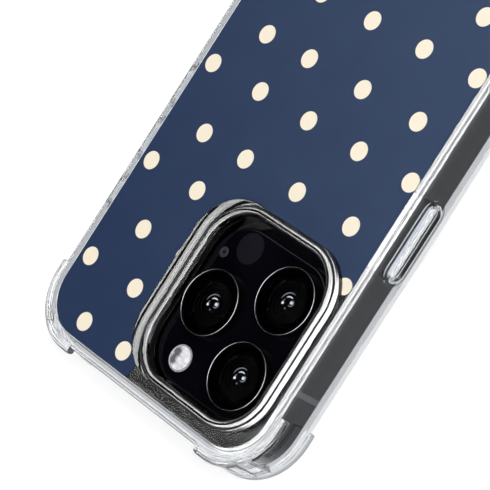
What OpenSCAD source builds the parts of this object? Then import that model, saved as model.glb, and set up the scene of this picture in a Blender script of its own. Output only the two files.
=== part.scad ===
// Phone in a clear bumper case with a dotted print on its back.
// The phone lies on its screen: +Z out of its back, +Y to its top edge, camera corner at -X +Y.
// Origin at the middle of the footprint, on the plane that the front lip rests on.

/* [Phone] */
// Width of the phone across its side band
phone_w = 71.5; // [66:0.5:78]
// Length of the phone
phone_l = 147.5; // [142:0.5:160]
// Thickness of the phone from screen glass to back glass
phone_t = 8.2; // [7.8:0.1:9.5]
// Corner radius of the side band, seen from the back
phone_corner = 10.4; // [8:0.1:13]
// Thickness of the side band
band_wall = 2.2; // [1.9:0.1:2.6]
// Radius along the outer edges of the side band
band_edge = 0.5; // [0.2:0.05:0.6]
// Thickness of the screen glass and of the back glass
glass_t = 0.8; // [0.5:0.05:0.9]
// Distance from the outside of the band to the edge of each glass
glass_inset = 0.6; // [0.4:0.05:0.9]
// Thickness of the display module behind the screen glass
display_t = 1.3; // [1:0.1:1.6]
// Thickness of the metal midplate behind the display
midplate_t = 0.6; // [0.4:0.05:0.8]

/* [Case] */
// Thickness of the bumper's side wall
case_wall = 2.25; // [1.5:0.05:2.5]
// Height of the front lip over the screen glass
lip_t = 1.8; // [0.8:0.1:2]
// Width of the front lip over the screen glass
lip_cover = 1.3; // [0.8:0.1:2]
// Thickness of the clear back plate
plate_t = 1.5; // [1:0.1:2]
// Thickness of the printed film on the back plate
print_t = 0.15; // [0.1:0.01:0.3]
// Width of the bumper's rim over the edge of the phone's back
rim_cover = 0.2; // [0.1:0.05:0.8]
// Radius along the bumper's outer back edge
back_edge = 1.2; // [0.6:0.1:1.5]
// Radius along the bumper's outer front edge
front_edge = 0.8; // [0.4:0.1:1.2]
// How far the corner bumps stand out of the side wall
bump_d = 1.35; // [0.8:0.05:2]
// How far a corner bump runs along each side past the round corner
bump_reach = 2.7; // [1.5:0.1:5]
// Height of the upper rib of a corner bump
bump_top_rib = 2.1; // [1.5:0.1:3]
// Height of the lower rib of a corner bump
bump_low_rib = 2.9; // [2:0.1:3.5]
// Width of the rib down the apex of a corner bump
bump_apex_rib = 3.4; // [2:0.1:5]

/* [Camera] */
// Distance from the phone's top edge to the middle of the camera plateau
plateau_from_top = 24.05; // [22:0.05:28]
// Distance from the phone's side to the plateau's edge
plateau_from_side = 3.15; // [3:0.05:6]
// Height of the camera plateau over the back glass
plateau_h = 1.95; // [1.8:0.05:2.6]
// Corner radius of the camera plateau
plateau_corner = 9; // [7:0.1:11]
// Outer radius of each lens ring
lens_r = 7.6; // [7.2:0.05:8]
// Distance from a lens ring to the plateau's side
lens_from_side = 1.125; // [0.9:0.025:2]
// Distance from a lens ring to the plateau's end
lens_from_end = 1.8; // [1.2:0.1:3]
// Height of each lens ring over the plateau
lens_h = 1.9; // [1.5:0.05:2.5]
// Distance between the two lenses of the outer column
lens_pitch = 18.5; // [17.5:0.1:21]
// Sideways distance from the outer column to the third lens
lens_step = 17.15; // [16:0.05:19]
// How far a lens barrel travels to focus
focus_travel = 0.3; // [0.1:0.05:0.4]

/* [Camera guard] */
// Gap from the plateau's sides to the guard
guard_gap = 0.3; // [0.2:0.05:1]
// Extra room inside the guard at its lower end
guard_low_gap = 1.7; // [0:0.1:3]
// Thickness of the guard wall
guard_wall = 2.35; // [2.35:0.05:2.6]
// Height of the guard over the printed film
guard_h = 3.5; // [2.8:0.1:5]
// Radius along the guard's outer top edge
guard_edge = 1.15; // [0.5:0.05:1.15]
// Radius along the guard's inner top edge
guard_lip = 1.15; // [0.2:0.05:1.15]
// Width of the guard's low step towards the middle of the back
step_w = 5.4; // [1:0.1:7]
// Height of the guard's low step over the printed film
step_h = 0.7; // [0.3:0.05:1.2]
// Radius along the low step's top edge
step_edge = 0.4; // [0.2:0.05:0.6]
// Corner radius of the guard's low step
step_corner = 12; // [10:0.1:15]

/* [Print] */
// Clear strip between the printed film and the bumper's rim
print_margin = 0.15; // [0.1:0.05:1]
// Radius of a printed dot
dot_r = 2.18; // [1:0.02:4]
// Radius of the print's two tips beside the clear corner
tip_r = 1.5; // [0.5:0.1:2.5]

/* [Keys] */
// Distance from the phone's top edge to the middle of the side key
side_key_from_top = 57.5; // [45:0.5:70]
// Distance from the phone's top edge to the middle of the action key
action_key_from_top = 32.3; // [28:0.1:36]
// Distance from the phone's top edge to the middle of the volume up key
volume_up_from_top = 46.3; // [44:0.1:50]
// Distance from the phone's top edge to the middle of the volume down key
volume_down_from_top = 60.3; // [58:0.1:70]
// Length of the side key's cover
side_cover_l = 18.2; // [14:0.1:22]
// Length of each volume key's cover
volume_cover_l = 9.6; // [8:0.1:10.5]
// Length of the action key's cover
action_cover_l = 6.8; // [6:0.1:8]
// Height of every key cover, across the side wall
cover_w = 4.5; // [3.6:0.1:5]
// How far a key cover stands out of the side wall
cover_proud = 1; // [0.5:0.05:1.3]
// Width of the raised rim round a key cover
cover_rim = 0.75; // [0.4:0.05:1]
// Gap round a key cover
cover_gap = 0.3; // [0.15:0.05:0.5]
// Height of a metal key, across the side band
key_w = 2.4; // [1.8:0.1:3]
// How far a metal key stands out of the side band
key_proud = 0.45; // [0.35:0.05:0.6]
// How far a key travels when it is pressed
key_travel = 0.3; // [0.1:0.05:0.3]

/* [Port] */
// Width of the charging port's mouth
port_w = 9; // [8.9:0.05:9.4]
// Height of the charging port's mouth
port_h = 3.2; // [3.1:0.05:3.6]
// Depth of the charging port
port_d = 7.3; // [6:0.1:8]
// Width of the case's opening round the port
port_cut_w = 13.4; // [12:0.1:15]
// Height of the case's opening round the port
port_cut_h = 6.2; // [5:0.1:6.6]
// Number of sound holes on each side of the port
sound_holes = 5; // [2:1:6]

/* [Inside] */
// Width of the battery
battery_w = 39; // [30:0.5:40]
// Space between the phone's bottom edge and the battery
bottom_room = 22.7; // [20:0.1:40]
// Outer radius of the charging coil
coil_r = 21.5; // [16:0.5:22]
// How far the vibration motor's weight swings each way
motor_travel = 0.6; // [0.2:0.05:1]

/* [Hidden] */
$fn = 96;

eps = 0.01;
fit_gap = 0.1;
bond_gap = 0.05;

// Levels, from the plane the lip rests on
screen_z = lip_t;
shelf_z = screen_z + glass_t;
midplate_z = shelf_z + display_t;
tray_z = midplate_z + midplate_t;
back_z = screen_z + phone_t;
roof_z = back_z - glass_t;
plate_z = back_z + plate_t;
print_z = plate_z + print_t;
mid_z = screen_z + phone_t / 2;
plateau_z = back_z + plateau_h;
lens_z = plateau_z + lens_h;
guard_z = print_z + guard_h;

// Outlines
side_x = phone_w / 2;
end_y = phone_l / 2;
inner_w = phone_w - 2 * band_wall;
inner_l = phone_l - 2 * band_wall;
inner_corner = phone_corner - band_wall;
cover_inset = rim_cover + fit_gap;
print_inset = rim_cover + print_margin;

// Camera places
plateau_w = lens_step + 2 * (lens_r + lens_from_side);
plateau_l = lens_pitch + 2 * (lens_r + lens_from_end);
plateau_x = -side_x + plateau_from_side + plateau_w / 2;
plateau_y = end_y - plateau_from_top;
column_x = plateau_x - lens_step / 2;
third_x = plateau_x + lens_step / 2;
WIDE = [column_x, plateau_y - lens_pitch / 2];
ULTRAWIDE = [column_x, plateau_y + lens_pitch / 2];
TELE = [third_x, plateau_y];
flash_from_edge = 5.3;
depth_from_edge = 4.5;
microphone_from_side = 2.9;
microphone_over_depth = 3.7;
FLASH = [third_x, plateau_y + plateau_l / 2 - flash_from_edge];
DEPTH = [third_x, plateau_y - plateau_l / 2 + depth_from_edge];
MICROPHONE = [plateau_x + plateau_w / 2 - microphone_from_side, DEPTH[1] + microphone_over_depth];
flash_r = 3.05;
depth_r = 3.55;
microphone_r = 0.8;
window_t = 0.4;
window_sink = 0.15;
ring_lip = 0.65;
ring_ledge = 1.2;
plateau_roof = 1;
plateau_rim = 0.9;
plateau_edge = 0.6;
barrel_r = 4.9;
barrel_gap = 0.15;
block_side = 13.2;
window_z = lens_z - window_sink - window_t;
barrel_z = roof_z - 1;
barrel_top = window_z - focus_travel - 0.3;
block_top = plateau_z - plateau_roof - bond_gap;

// Guard places
guard_in_w = plateau_w + 2 * guard_gap;
guard_in_l = plateau_l + 2 * guard_gap + guard_low_gap;
guard_y = plateau_y - guard_low_gap / 2;
guard_in_corner = plateau_corner + guard_gap;
guard_out_w = guard_in_w + 2 * guard_wall;
guard_out_l = guard_in_l + 2 * guard_wall;
guard_out_corner = guard_in_corner + guard_wall;
step_out_w = guard_out_w + step_w;
step_x = plateau_x + step_w / 2;

// Key places
side_key_y = end_y - side_key_from_top;
action_key_y = end_y - action_key_from_top;
volume_up_y = end_y - volume_up_from_top;
volume_down_y = end_y - volume_down_from_top;
KEYS = [
    [-1, side_key_y, side_cover_l],
    [1, volume_up_y, volume_cover_l],
    [1, volume_down_y, volume_cover_l],
    [1, action_key_y, action_cover_l]
];
rim_proud = 0.35;
key_short = 3;
key_gap = 0.12;
key_skin = 0.9;
key_flange_t = 0.45;
key_flange_w = 0.5;
switch_t = 0.8;
dome_r = 1.1;
strip_w = 2.8;
strip_t = 0.3;
strip_short = 1;

// Print layout: two staggered sets of dots, rows from the phone's top edge and columns from its middle
DOT_SETS = [
    [[17, 42.2, 67.7, 92.9, 118.2, 143.4], [-33.4, -17.3, -0.9, 15.5, 32.1]],
    [[4.5, 28.6, 53.6, 79.2, 104.7, 130.1], [-26.4, -9, 8.5, 22.9]]
];
dot_proud = 0.05;
tip_from_guard_x = 1.25;
tip_from_guard_y = 6.2;

// Port and sound places
sound_pitch = 2.3;
sound_r = 0.75;
sound_l = sound_holes * sound_pitch;
sound_past_corner = 0.4;
sound_x = inner_w / 2 - inner_corner - sound_l / 2 + sound_past_corner;
sound_cut_h = 2.6;
mesh_w = 2.4;
mesh_t = 0.3;
screw_x = 7.6;
screw_r = 0.8;
port_wall = 0.3;
tongue_w = 6.7;
tongue_t = 0.7;
screw_d = 1.6;

// Breaks in the side band
break_w = 1.3;
break_d = glass_inset - bond_gap;
break_from_end = 19;
break_from_side = 15;

// Front openings
earpiece_from_top = 2.6;
earpiece_slot_l = 9;
front_camera_from_top = 7;
front_camera_r = 1.9;

// Inside places
corner_step_x = inner_corner * 0.43;
corner_step_y = inner_corner * 0.27;
port_side = 2;
port_over = 0.6;
depth_side = 4.8;
emitter_side = 3.2;
emitter_t = 0.5;
coil_t = 0.45;
coil_hole = 0.45;
coil_z = roof_z - coil_t - bond_gap;
magnet_gap = 1;
magnet_w = 3.5;
room_gap = 0.5;
block_gap = 0.85;
depth_gap = 0.15;
battery_top = DEPTH[1] - depth_side / 2 - depth_gap;
battery_low = -end_y + bottom_room;
battery_l = battery_top - battery_low;
battery_y = (battery_top + battery_low) / 2;
battery_gap = 1.5;
battery_x = inner_w / 2 - battery_w / 2 - battery_gap;
battery_corner = 1.5;
board_t = 0.8;
board_from_side = 2.6;
board_gap = 1;
board_over = 4;
board_x = -inner_w / 2 + board_from_side;
board_w = battery_x - battery_w / 2 - board_x - board_gap;
board_neck = 6;
board_low = battery_low + board_over;
board_top = WIDE[1] - block_side / 2 - block_gap - board_neck;
board_l = board_top - board_low;
shield_in = 1;
shield_h = 1.6;
shield_rows = 3;
sleeve_wall = 0.9;
motor_w = 9;
motor_h = 4;
motor_skin = 0.35;
motor_x = -inner_w / 2 + corner_step_x;
motor_y = -end_y + band_wall + corner_step_y;
port_room = 1.5;
motor_l = -port_w / 2 - port_side - port_room - motor_x;
speaker_x = port_w / 2 + port_side + port_room;
speaker_w = inner_w / 2 - corner_step_x - speaker_x;
speaker_l = 9.5;
earpiece_x = 6;
earpiece_w = 14;
earpiece_l = 7.5;
earpiece_h = 3;
flex_x = 8;
flex_gap = 2;
flex_w = 16;
flex_l = 14;
flex_t = 0.3;
tray_screw_in = 1.3;
tray_screw_below = 7;
tray_screw_above = 8;
tray_screw_r = 0.9;
tray_screw_h = 0.6;

// ---- Shapes that repeat ----

// Rounded rectangle round the origin
module rounded(w, l, r) {
    square([w, l - 2 * r], center = true);
    square([w - 2 * r, l], center = true);
    for (x = [-1, 1], y = [-1, 1])
        translate([x * (w / 2 - r), y * (l / 2 - r)])
            circle(r);
}

// Rounded plate of thickness h
module slab(w, l, r, h) {
    linear_extrude(h)
        rounded(w, l, r);
}

// Plate with the phone's own outline, moved inwards by inset
module phone_slab(inset, h) {
    slab(phone_w - 2 * inset, phone_l - 2 * inset, phone_corner - inset, h);
}

// Slot outline, l long with round ends, along Y
module slot(l, w) {
    square([w, l - w], center = true);
    for (y = [-1, 1])
        translate([0, y * (l - w) / 2])
            circle(w / 2);
}

// Slot-shaped pad with a chamfer c round its top
module pad(l, w, h, c) {
    reach = (l - w) / 2;
    linear_extrude(h - c)
        slot(l, w);
    translate([0, 0, h - c]) {
        for (y = [-1, 1])
            translate([0, y * reach, 0])
                cylinder(r1 = w / 2, r2 = w / 2 - c, h = c);
        translate([0, reach, 0])
            rotate([90, 0, 0])
                linear_extrude(2 * reach)
                    polygon([[-w / 2, 0], [w / 2, 0], [w / 2 - c, c], [c - w / 2, c]]);
    }
}

// Carries a profile once round a rounded outline. Its X runs outwards from the outline's edge.
module sweep_loop(w, l, r) {
    for (a = [0, 1], b = [0, 1])
        mirror([a, 0, 0])
            mirror([0, b, 0])
                translate([w / 2 - r, l / 2 - r, 0])
                    rotate_extrude(angle = 90)
                        translate([r, 0])
                            children();
    for (turn = [0, 180])
        rotate(turn) {
            translate([w / 2, l / 2 - r, 0])
                rotate([90, 0, 0])
                    linear_extrude(l - 2 * r)
                        children();
            rotate(90)
                translate([l / 2, w / 2 - r, 0])
                    rotate([90, 0, 0])
                        linear_extrude(w - 2 * r)
                            children();
        }
}

// Carries a profile once round the phone's band
module sweep_round() {
    sweep_loop(phone_w, phone_l, phone_corner)
        children();
}

// Rounded plate of thickness h with a rounded top edge of radius e
module soft_slab(w, l, r, h, e) {
    slab(w, l, r, h - e);
    slab(w - 2 * e, l - 2 * e, r - e, h);
    sweep_loop(w, l, r)
        translate([-e, h - e])
            circle(e);
}

// The same profile round one corner of the phone
module sweep_corner() {
    translate([side_x - phone_corner, end_y - phone_corner, 0])
        rotate_extrude(angle = 90)
            translate([phone_corner, 0])
                children();
}

// Rectangle from [x, y] with separate radii on its outer (+X) corners
module edged(x, y, w, h, low_r, top_r) {
    intersection() {
        translate([x, y])
            square([w, h]);
        union() {
            translate([x, y])
                square([w - low_r, h / 2]);
            translate([x, y + h / 2])
                square([w - top_r, h / 2]);
            translate([x, y + low_r])
                square([w, h - low_r - top_r]);
            translate([x + w - low_r, y + low_r])
                circle(low_r);
            translate([x + w - top_r, y + h - top_r])
                circle(top_r);
        }
    }
}

// Puts children on a side face: local Z outwards, local Y along the phone
module on_side(side, y) {
    translate([side * side_x, y, mid_z])
        rotate([0, side * 90, 0])
            children();
}

// Puts children on the bottom end: local Z outwards, local X along the end
module on_end(x) {
    translate([x, -end_y, mid_z])
        rotate([90, 0, 0])
            children();
}

// Puts children at both ends of the bottom edge's sound rows
module at_sound_rows() {
    for (side = [-1, 1])
        on_end(side * sound_x)
            children();
}

// Every key cover's slot outline, extruded from low to high above the band's face
module cover_slots(grow, low, high) {
    for (k = KEYS)
        on_side(k[0], k[1])
            translate([0, 0, low])
                linear_extrude(high - low)
                    slot(k[2] + 2 * grow, cover_w + 2 * grow);
}

// ---- Case ----

// Section of the bumper: side wall, front lip and back rim
module bumper_section() {
    edged(fit_gap, 0, case_wall - fit_gap, print_z, front_edge, back_edge);
    translate([-rim_cover, back_z])
        square([rim_cover + case_wall / 2, print_z - back_z]);
    translate([lip_t / 2 - lip_cover, 0])
        square([lip_cover + case_wall / 2 - lip_t / 2, lip_t]);
    translate([lip_t / 2 - lip_cover, lip_t / 2])
        circle(lip_t / 2);
}

// Full-height section of a corner bump
module bump_section() {
    edged(case_wall / 2, 0, case_wall / 2 + bump_d, print_z, front_edge, back_edge);
}

// Sections of a bump's upper and lower rib
module rib_sections() {
    x = case_wall / 2;
    edged(x, print_z - bump_top_rib, x + bump_d, bump_top_rib, 0.5, back_edge);
    edged(x, 0, x + bump_d, bump_low_rib, front_edge, 0.6);
}

// Outline of one corner bump seen from the back, with round ends
module bump_outline() {
    end_r = 0.9;
    deep = case_wall / 2 + bump_d;
    low = phone_corner + case_wall / 2;
    translate([side_x - phone_corner, end_y - phone_corner]) {
        intersection() {
            circle(low + deep);
            square(low + deep);
        }
        for (a = [0, 1])
            mirror([a, -a]) {
                translate([low, -bump_reach + end_r])
                    square([deep, bump_reach - end_r + eps]);
                translate([low, -bump_reach])
                    square([deep - end_r, bump_reach]);
                translate([low + deep - end_r, -bump_reach + end_r])
                    circle(end_r);
            }
    }
}

// Carries a section round one corner and a little along both sides
module sweep_bump() {
    sweep_corner()
        children();
    translate([side_x, end_y - phone_corner, 0])
        rotate([90, 0, 0])
            linear_extrude(bump_reach)
                children();
    translate([side_x - phone_corner - bump_reach, end_y, 0])
        rotate([90, 0, 90])
            linear_extrude(bump_reach)
                children();
}

// One corner bump: two ribs round the corner and one down its apex
module corner_bump() {
    intersection() {
        linear_extrude(print_z)
            bump_outline();
        union() {
            sweep_bump()
                rib_sections();
            intersection() {
                sweep_corner()
                    bump_section();
                translate([side_x - phone_corner, end_y - phone_corner, 0])
                    rotate(45)
                        translate([0, -bump_apex_rib / 2, 0])
                            cube([2 * phone_corner, bump_apex_rib, print_z]);
            }
        }
    }
}

// Raised rims round the key covers
module cover_rims() {
    grow = cover_gap + cover_rim;
    cover_slots(grow, case_wall / 2, case_wall + rim_proud);
}

// Openings in the bottom end for the port and the sound holes
module end_openings() {
    on_end(0)
        translate([0, 0, -eps])
            linear_extrude(case_wall + bump_d)
                rotate(90)
                    slot(port_cut_w, port_cut_h);
    at_sound_rows()
        translate([0, 0, -eps])
            linear_extrude(case_wall + bump_d)
                rotate(90)
                    slot(sound_holes * sound_pitch + 1, sound_cut_h);
}

module bumper_frame() {
    color([0.88, 0.91, 0.95, 0.4])
        difference() {
            union() {
                sweep_round()
                    bumper_section();
                for (a = [0, 1], b = [0, 1])
                    mirror([a, 0, 0])
                        mirror([0, b, 0])
                            corner_bump();
                cover_rims();
            }
            cover_slots(cover_gap, -eps, case_wall + rim_proud + eps);
            end_openings();
        }
}

// Hole through the back plate that the camera guard stands in
module guard_outline(grow) {
    translate([plateau_x, guard_y])
        rounded(guard_out_w + 2 * grow, guard_out_l + 2 * grow, guard_out_corner + grow);
}

module step_outline(grow) {
    translate([step_x, guard_y])
        rounded(step_out_w + 2 * grow, guard_out_l + 2 * grow, step_corner + grow);
}

module back_plate() {
    color([0.9, 0.93, 0.97, 0.3])
        translate([0, 0, back_z])
            difference() {
                phone_slab(cover_inset, plate_t);
                translate([0, 0, -eps])
                    linear_extrude(plate_t + 2 * eps)
                        guard_outline(bond_gap);
            }
}

// Part of the back that stays clear: the guard with its step, and the corner beyond it
module clear_zone() {
    tip_x = plateau_x + guard_out_w / 2 - tip_from_guard_x;
    tip_y = guard_y - guard_out_l / 2 + tip_from_guard_y;
    edge_x = print_inset - side_x;
    edge_y = end_y - print_inset;
    guard_outline(bond_gap);
    step_outline(bond_gap);
    translate([-phone_w, tip_y])
        square([phone_w + step_x, phone_l]);
    translate([-phone_w, plateau_y])
        square([phone_w + tip_x, phone_l]);
    translate([tip_x - eps, edge_y - tip_r])
        difference() {
            square([tip_r + eps, tip_r + 1]);
            translate([tip_r + eps, 0])
                circle(tip_r);
        }
    translate([edge_x - 1, tip_y - tip_r + eps])
        difference() {
            square([tip_r + 1, tip_r]);
            translate([tip_r + 1, -eps])
                circle(tip_r);
        }
}

// The printed area
module print_outline() {
    difference() {
        rounded(phone_w - 2 * print_inset, phone_l - 2 * print_inset, phone_corner - print_inset);
        clear_zone();
    }
}

module print_field() {
    color([0.17, 0.25, 0.38])
        translate([0, 0, plate_z])
            linear_extrude(print_t)
                print_outline();
}

module print_dots() {
    color([0.97, 0.91, 0.8])
        intersection() {
            translate([0, 0, print_z])
                linear_extrude(dot_proud)
                    for (set = DOT_SETS, row = set[0], x = set[1])
                        translate([x, end_y - row])
                            circle(dot_r);
            translate([0, 0, print_z - eps])
                linear_extrude(1)
                    print_outline();
        }
}

// Section of the guard wall, rounded along both top edges
module guard_section() {
    h = guard_z - back_z;
    translate([-guard_wall, 0])
        square([guard_wall, h - guard_edge]);
    translate([-guard_wall, 0])
        square([guard_wall - guard_edge, h - guard_lip]);
    translate([guard_lip - guard_wall, 0])
        square([guard_wall - guard_edge - guard_lip, h]);
    translate([-guard_edge, h - guard_edge])
        circle(guard_edge);
    translate([guard_lip - guard_wall, h - guard_lip])
        circle(guard_lip);
}

// Guard wall round the camera, with a low step towards the middle of the back
module camera_guard() {
    color([0.88, 0.91, 0.95, 0.4])
        difference() {
            union() {
                translate([plateau_x, guard_y, back_z])
                    sweep_loop(guard_out_w, guard_out_l, guard_out_corner)
                        guard_section();
                intersection() {
                    translate([step_x, guard_y, plate_z])
                        soft_slab(step_out_w, guard_out_l, step_corner, print_t + step_h, step_edge);
                    translate([0, 0, plate_z])
                        phone_slab(print_inset, guard_h);
                }
            }
            translate([plateau_x, guard_y, back_z - eps])
                slab(guard_in_w, guard_in_l, guard_in_corner, guard_z);
        }
}

module key_cover(side, y, l) {
    color([0.88, 0.91, 0.95, 0.5])
        on_side(side, y)
            translate([0, 0, key_proud + bond_gap])
                pad(l, cover_w, case_wall + cover_proud - key_proud - bond_gap, 0.6);
}

module side_key_cover() {
    key_cover(-1, side_key_y, side_cover_l);
}

module volume_up_cover() {
    key_cover(1, volume_up_y, volume_cover_l);
}

module volume_down_cover() {
    key_cover(1, volume_down_y, volume_cover_l);
}

module action_key_cover() {
    key_cover(1, action_key_y, action_cover_l);
}

// ---- Phone body ----

// Section of the side band, with a seat for each glass
module band_section() {
    seat = glass_t;
    difference() {
        edged(-band_wall, screen_z, band_wall, phone_t, band_edge, band_edge);
        for (z = [screen_z - eps, back_z - seat])
            translate([-band_wall - eps, z])
                square([band_wall - glass_inset + eps, seat + eps]);
    }
}

// A key's slot through the band, and the wider pocket behind it for its flange
module key_opening(l) {
    wide = 2 * (key_flange_w + key_gap);
    translate([0, 0, -band_wall - eps])
        linear_extrude(band_wall + 1)
            slot(l + 2 * key_gap, key_w + 2 * key_gap);
    translate([0, 0, -band_wall - eps])
        linear_extrude(band_wall - key_skin + eps)
            slot(l + wide, key_w + wide);
}

// Outlines of the antenna breaks, as blocks that run through the band's outer half
module break_blocks() {
    for (x = [-1, 1], y = [-1, 1]) {
        translate([x * side_x, y * (end_y - break_from_end), mid_z])
            cube([2 * break_d, break_w, phone_t - 2 * band_edge], center = true);
        translate([x * (side_x - break_from_side), y * end_y, mid_z])
            cube([break_w, 2 * break_d, phone_t - 2 * band_edge], center = true);
    }
}

module side_band() {
    color([0.23, 0.23, 0.25])
        difference() {
            sweep_round()
                band_section();
            for (k = KEYS)
                on_side(k[0], k[1])
                    key_opening(k[2] - key_short);
            break_blocks();
            on_end(0)
                translate([0, 0, -band_wall - eps])
                    linear_extrude(band_wall + 1)
                        rotate(90)
                            slot(port_w, port_h);
            sound_drillings(band_wall + 1);
            on_end(0)
                for (x = [-screw_x, screw_x])
                    translate([x, 0, -screw_d])
                        cylinder(r = screw_r, h = screw_d + 1);
        }
}

// Row of drilled sound holes on each side of the port
module sound_drillings(depth) {
    at_sound_rows()
        for (i = [1 : sound_holes])
            translate([(i - (sound_holes + 1) / 2) * sound_pitch, 0, -band_wall - eps])
                cylinder(r = sound_r, h = depth);
}

module antenna_breaks() {
    color([0.35, 0.35, 0.37])
        intersection() {
            break_blocks();
            translate([0, 0, screen_z])
                phone_slab(0, phone_t);
        }
}

module midplate() {
    color([0.6, 0.62, 0.65])
        translate([0, 0, midplate_z])
            difference() {
                slab(inner_w - 2 * bond_gap, inner_l - 2 * bond_gap, inner_corner - bond_gap, midplate_t);
                translate([-port_w / 2, -end_y, -eps])
                    cube([port_w, port_d + bond_gap, midplate_t + 2 * eps]);
            }
}

module screen_glass() {
    color([0.03, 0.03, 0.04])
        translate([0, 0, screen_z])
            difference() {
                phone_slab(glass_inset + bond_gap, glass_t);
                translate([0, end_y - earpiece_from_top, -eps])
                    linear_extrude(0.3 + eps)
                        rotate(90)
                            slot(earpiece_slot_l, 1);
            }
}

module display_module() {
    color([0.1, 0.1, 0.12])
        translate([0, 0, shelf_z])
            difference() {
                slab(inner_w - 1, inner_l - 1, inner_corner - 0.5, display_t);
                translate([0, end_y - front_camera_from_top, -eps])
                    cylinder(r = front_camera_r + bond_gap, h = display_t + 2 * eps);
            }
}

module back_glass() {
    color([0.05, 0.05, 0.06])
        translate([0, 0, roof_z])
            difference() {
                phone_slab(glass_inset + bond_gap, glass_t);
                translate([plateau_x, plateau_y, -eps])
                    slab(
                        plateau_w - 2 * plateau_rim, plateau_l - 2 * plateau_rim,
                        plateau_corner - plateau_rim, glass_t + 2 * eps
                    );
            }
}

// ---- Rear camera ----

// Section of the plateau's rounded rim, from its outline inwards
module plateau_section() {
    wide = plateau_corner - plateau_edge;
    square([wide, plateau_h]);
    square([plateau_corner, plateau_h - plateau_edge]);
    translate([wide, plateau_h - plateau_edge])
        circle(plateau_edge);
}

module plateau_body() {
    straight_w = plateau_w - 2 * plateau_corner;
    straight_l = plateau_l - 2 * plateau_corner;
    intersection() {
        union() {
            translate([-straight_w / 2, -straight_l / 2, 0])
                cube([straight_w, straight_l, plateau_h]);
            for (turn = [0, 180])
                rotate(turn) {
                    for (a = [0, 1])
                        mirror([0, a, 0])
                            translate([straight_w / 2, straight_l / 2, 0])
                                rotate_extrude(angle = 90)
                                    plateau_half();
                    translate([straight_w / 2, straight_l / 2, 0])
                        rotate([90, 0, 0])
                            linear_extrude(straight_l)
                                plateau_half();
                    translate([-straight_w / 2, straight_l / 2, 0])
                        rotate([90, 0, 90])
                            linear_extrude(straight_w)
                                plateau_half();
                }
        }
        translate([-plateau_w, -plateau_l, 0])
            cube([2 * plateau_w, 2 * plateau_l, plateau_h]);
    }
}

// The section kept to one side of the axis it turns about
module plateau_half() {
    intersection() {
        plateau_section();
        square([plateau_corner, plateau_h]);
    }
}

module camera_plateau() {
    pocket = plateau_h - plateau_roof;
    color([0.02, 0.02, 0.03])
        difference() {
            translate([plateau_x, plateau_y, back_z])
                plateau_body();
            translate([plateau_x, plateau_y, back_z - eps])
                slab(
                    plateau_w - 2 * plateau_rim - bond_gap, plateau_l - 2 * plateau_rim - bond_gap,
                    plateau_corner - plateau_rim, pocket + eps
                );
            for (p = [WIDE, ULTRAWIDE, TELE])
                translate([p[0], p[1], back_z])
                    cylinder(r = lens_r - ring_ledge, h = phone_t);
            translate([FLASH[0], FLASH[1], back_z])
                cylinder(r = flash_r + bond_gap, h = phone_t);
            translate([DEPTH[0], DEPTH[1], back_z])
                cylinder(r = depth_r + bond_gap, h = phone_t);
            translate([MICROPHONE[0], MICROPHONE[1], back_z])
                cylinder(r = microphone_r, h = phone_t);
        }
}

// Metal ring that stands on the plateau and holds a lens window on its ledge
module lens_ring(p) {
    color([0.12, 0.12, 0.13])
        translate([p[0], p[1], plateau_z])
            rotate_extrude()
                difference() {
                    union() {
                        translate([lens_r - ring_ledge, 0])
                            square([ring_ledge, lens_h - 0.25]);
                        translate([lens_r - ring_ledge, 0])
                            square([ring_ledge - 0.25, lens_h]);
                        translate([lens_r - 0.25, lens_h - 0.25])
                            circle(0.25);
                    }
                    translate([0, lens_h - window_sink - window_t])
                        square([lens_r - ring_lip, lens_h]);
                }
}

module wide_lens_ring() {
    lens_ring(WIDE);
}

module ultrawide_lens_ring() {
    lens_ring(ULTRAWIDE);
}

module tele_lens_ring() {
    lens_ring(TELE);
}

module lens_window(p) {
    color([0.1, 0.1, 0.14, 0.4])
        translate([p[0], p[1], window_z])
            cylinder(r = lens_r - ring_lip - bond_gap, h = window_t);
}

module wide_lens_window() {
    lens_window(WIDE);
}

module ultrawide_lens_window() {
    lens_window(ULTRAWIDE);
}

module tele_lens_window() {
    lens_window(TELE);
}

// Barrel with a stepped funnel down to its front lens; mouth is the radius of that lens
module lens_barrel(p, mouth) {
    deep = barrel_top - barrel_z;
    steps = 4;
    fall = (barrel_r - 0.5 - mouth) / steps;
    color([0.06, 0.06, 0.07])
        translate([p[0], p[1], barrel_z]) {
            difference() {
                cylinder(r = barrel_r, h = deep);
                for (i = [0 : steps - 1])
                    translate([0, 0, deep - 0.3 * (i + 1)])
                        cylinder(r = barrel_r - 0.5 - i * fall, h = deep);
            }
            translate([0, 0, deep - 0.3 * steps - eps])
                intersection() {
                    cylinder(r = mouth, h = 1);
                    translate([0, 0, 0.6 - 2 * mouth])
                        sphere(2 * mouth);
                }
        }
}

module wide_lens_barrel() {
    lens_barrel(WIDE, 2);
}

module ultrawide_lens_barrel() {
    lens_barrel(ULTRAWIDE, 1.6);
}

module tele_lens_barrel() {
    lens_barrel(TELE, 1.8);
}

// Square housing on the midplate with a round sleeve, bored for its barrel
module sensor_block(p) {
    color([0.3, 0.3, 0.32])
        difference() {
            union() {
                translate([p[0] - block_side / 2, p[1] - block_side / 2, tray_z])
                    cube([block_side, block_side, roof_z - fit_gap - tray_z]);
                translate([p[0], p[1], tray_z])
                    cylinder(r = barrel_r + barrel_gap + sleeve_wall, h = block_top - tray_z);
            }
            translate([p[0], p[1], barrel_z - barrel_gap])
                cylinder(r = barrel_r + barrel_gap, h = phone_t);
        }
}

module wide_sensor_block() {
    sensor_block(WIDE);
}

module ultrawide_sensor_block() {
    sensor_block(ULTRAWIDE);
}

module tele_sensor_block() {
    sensor_block(TELE);
}

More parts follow.
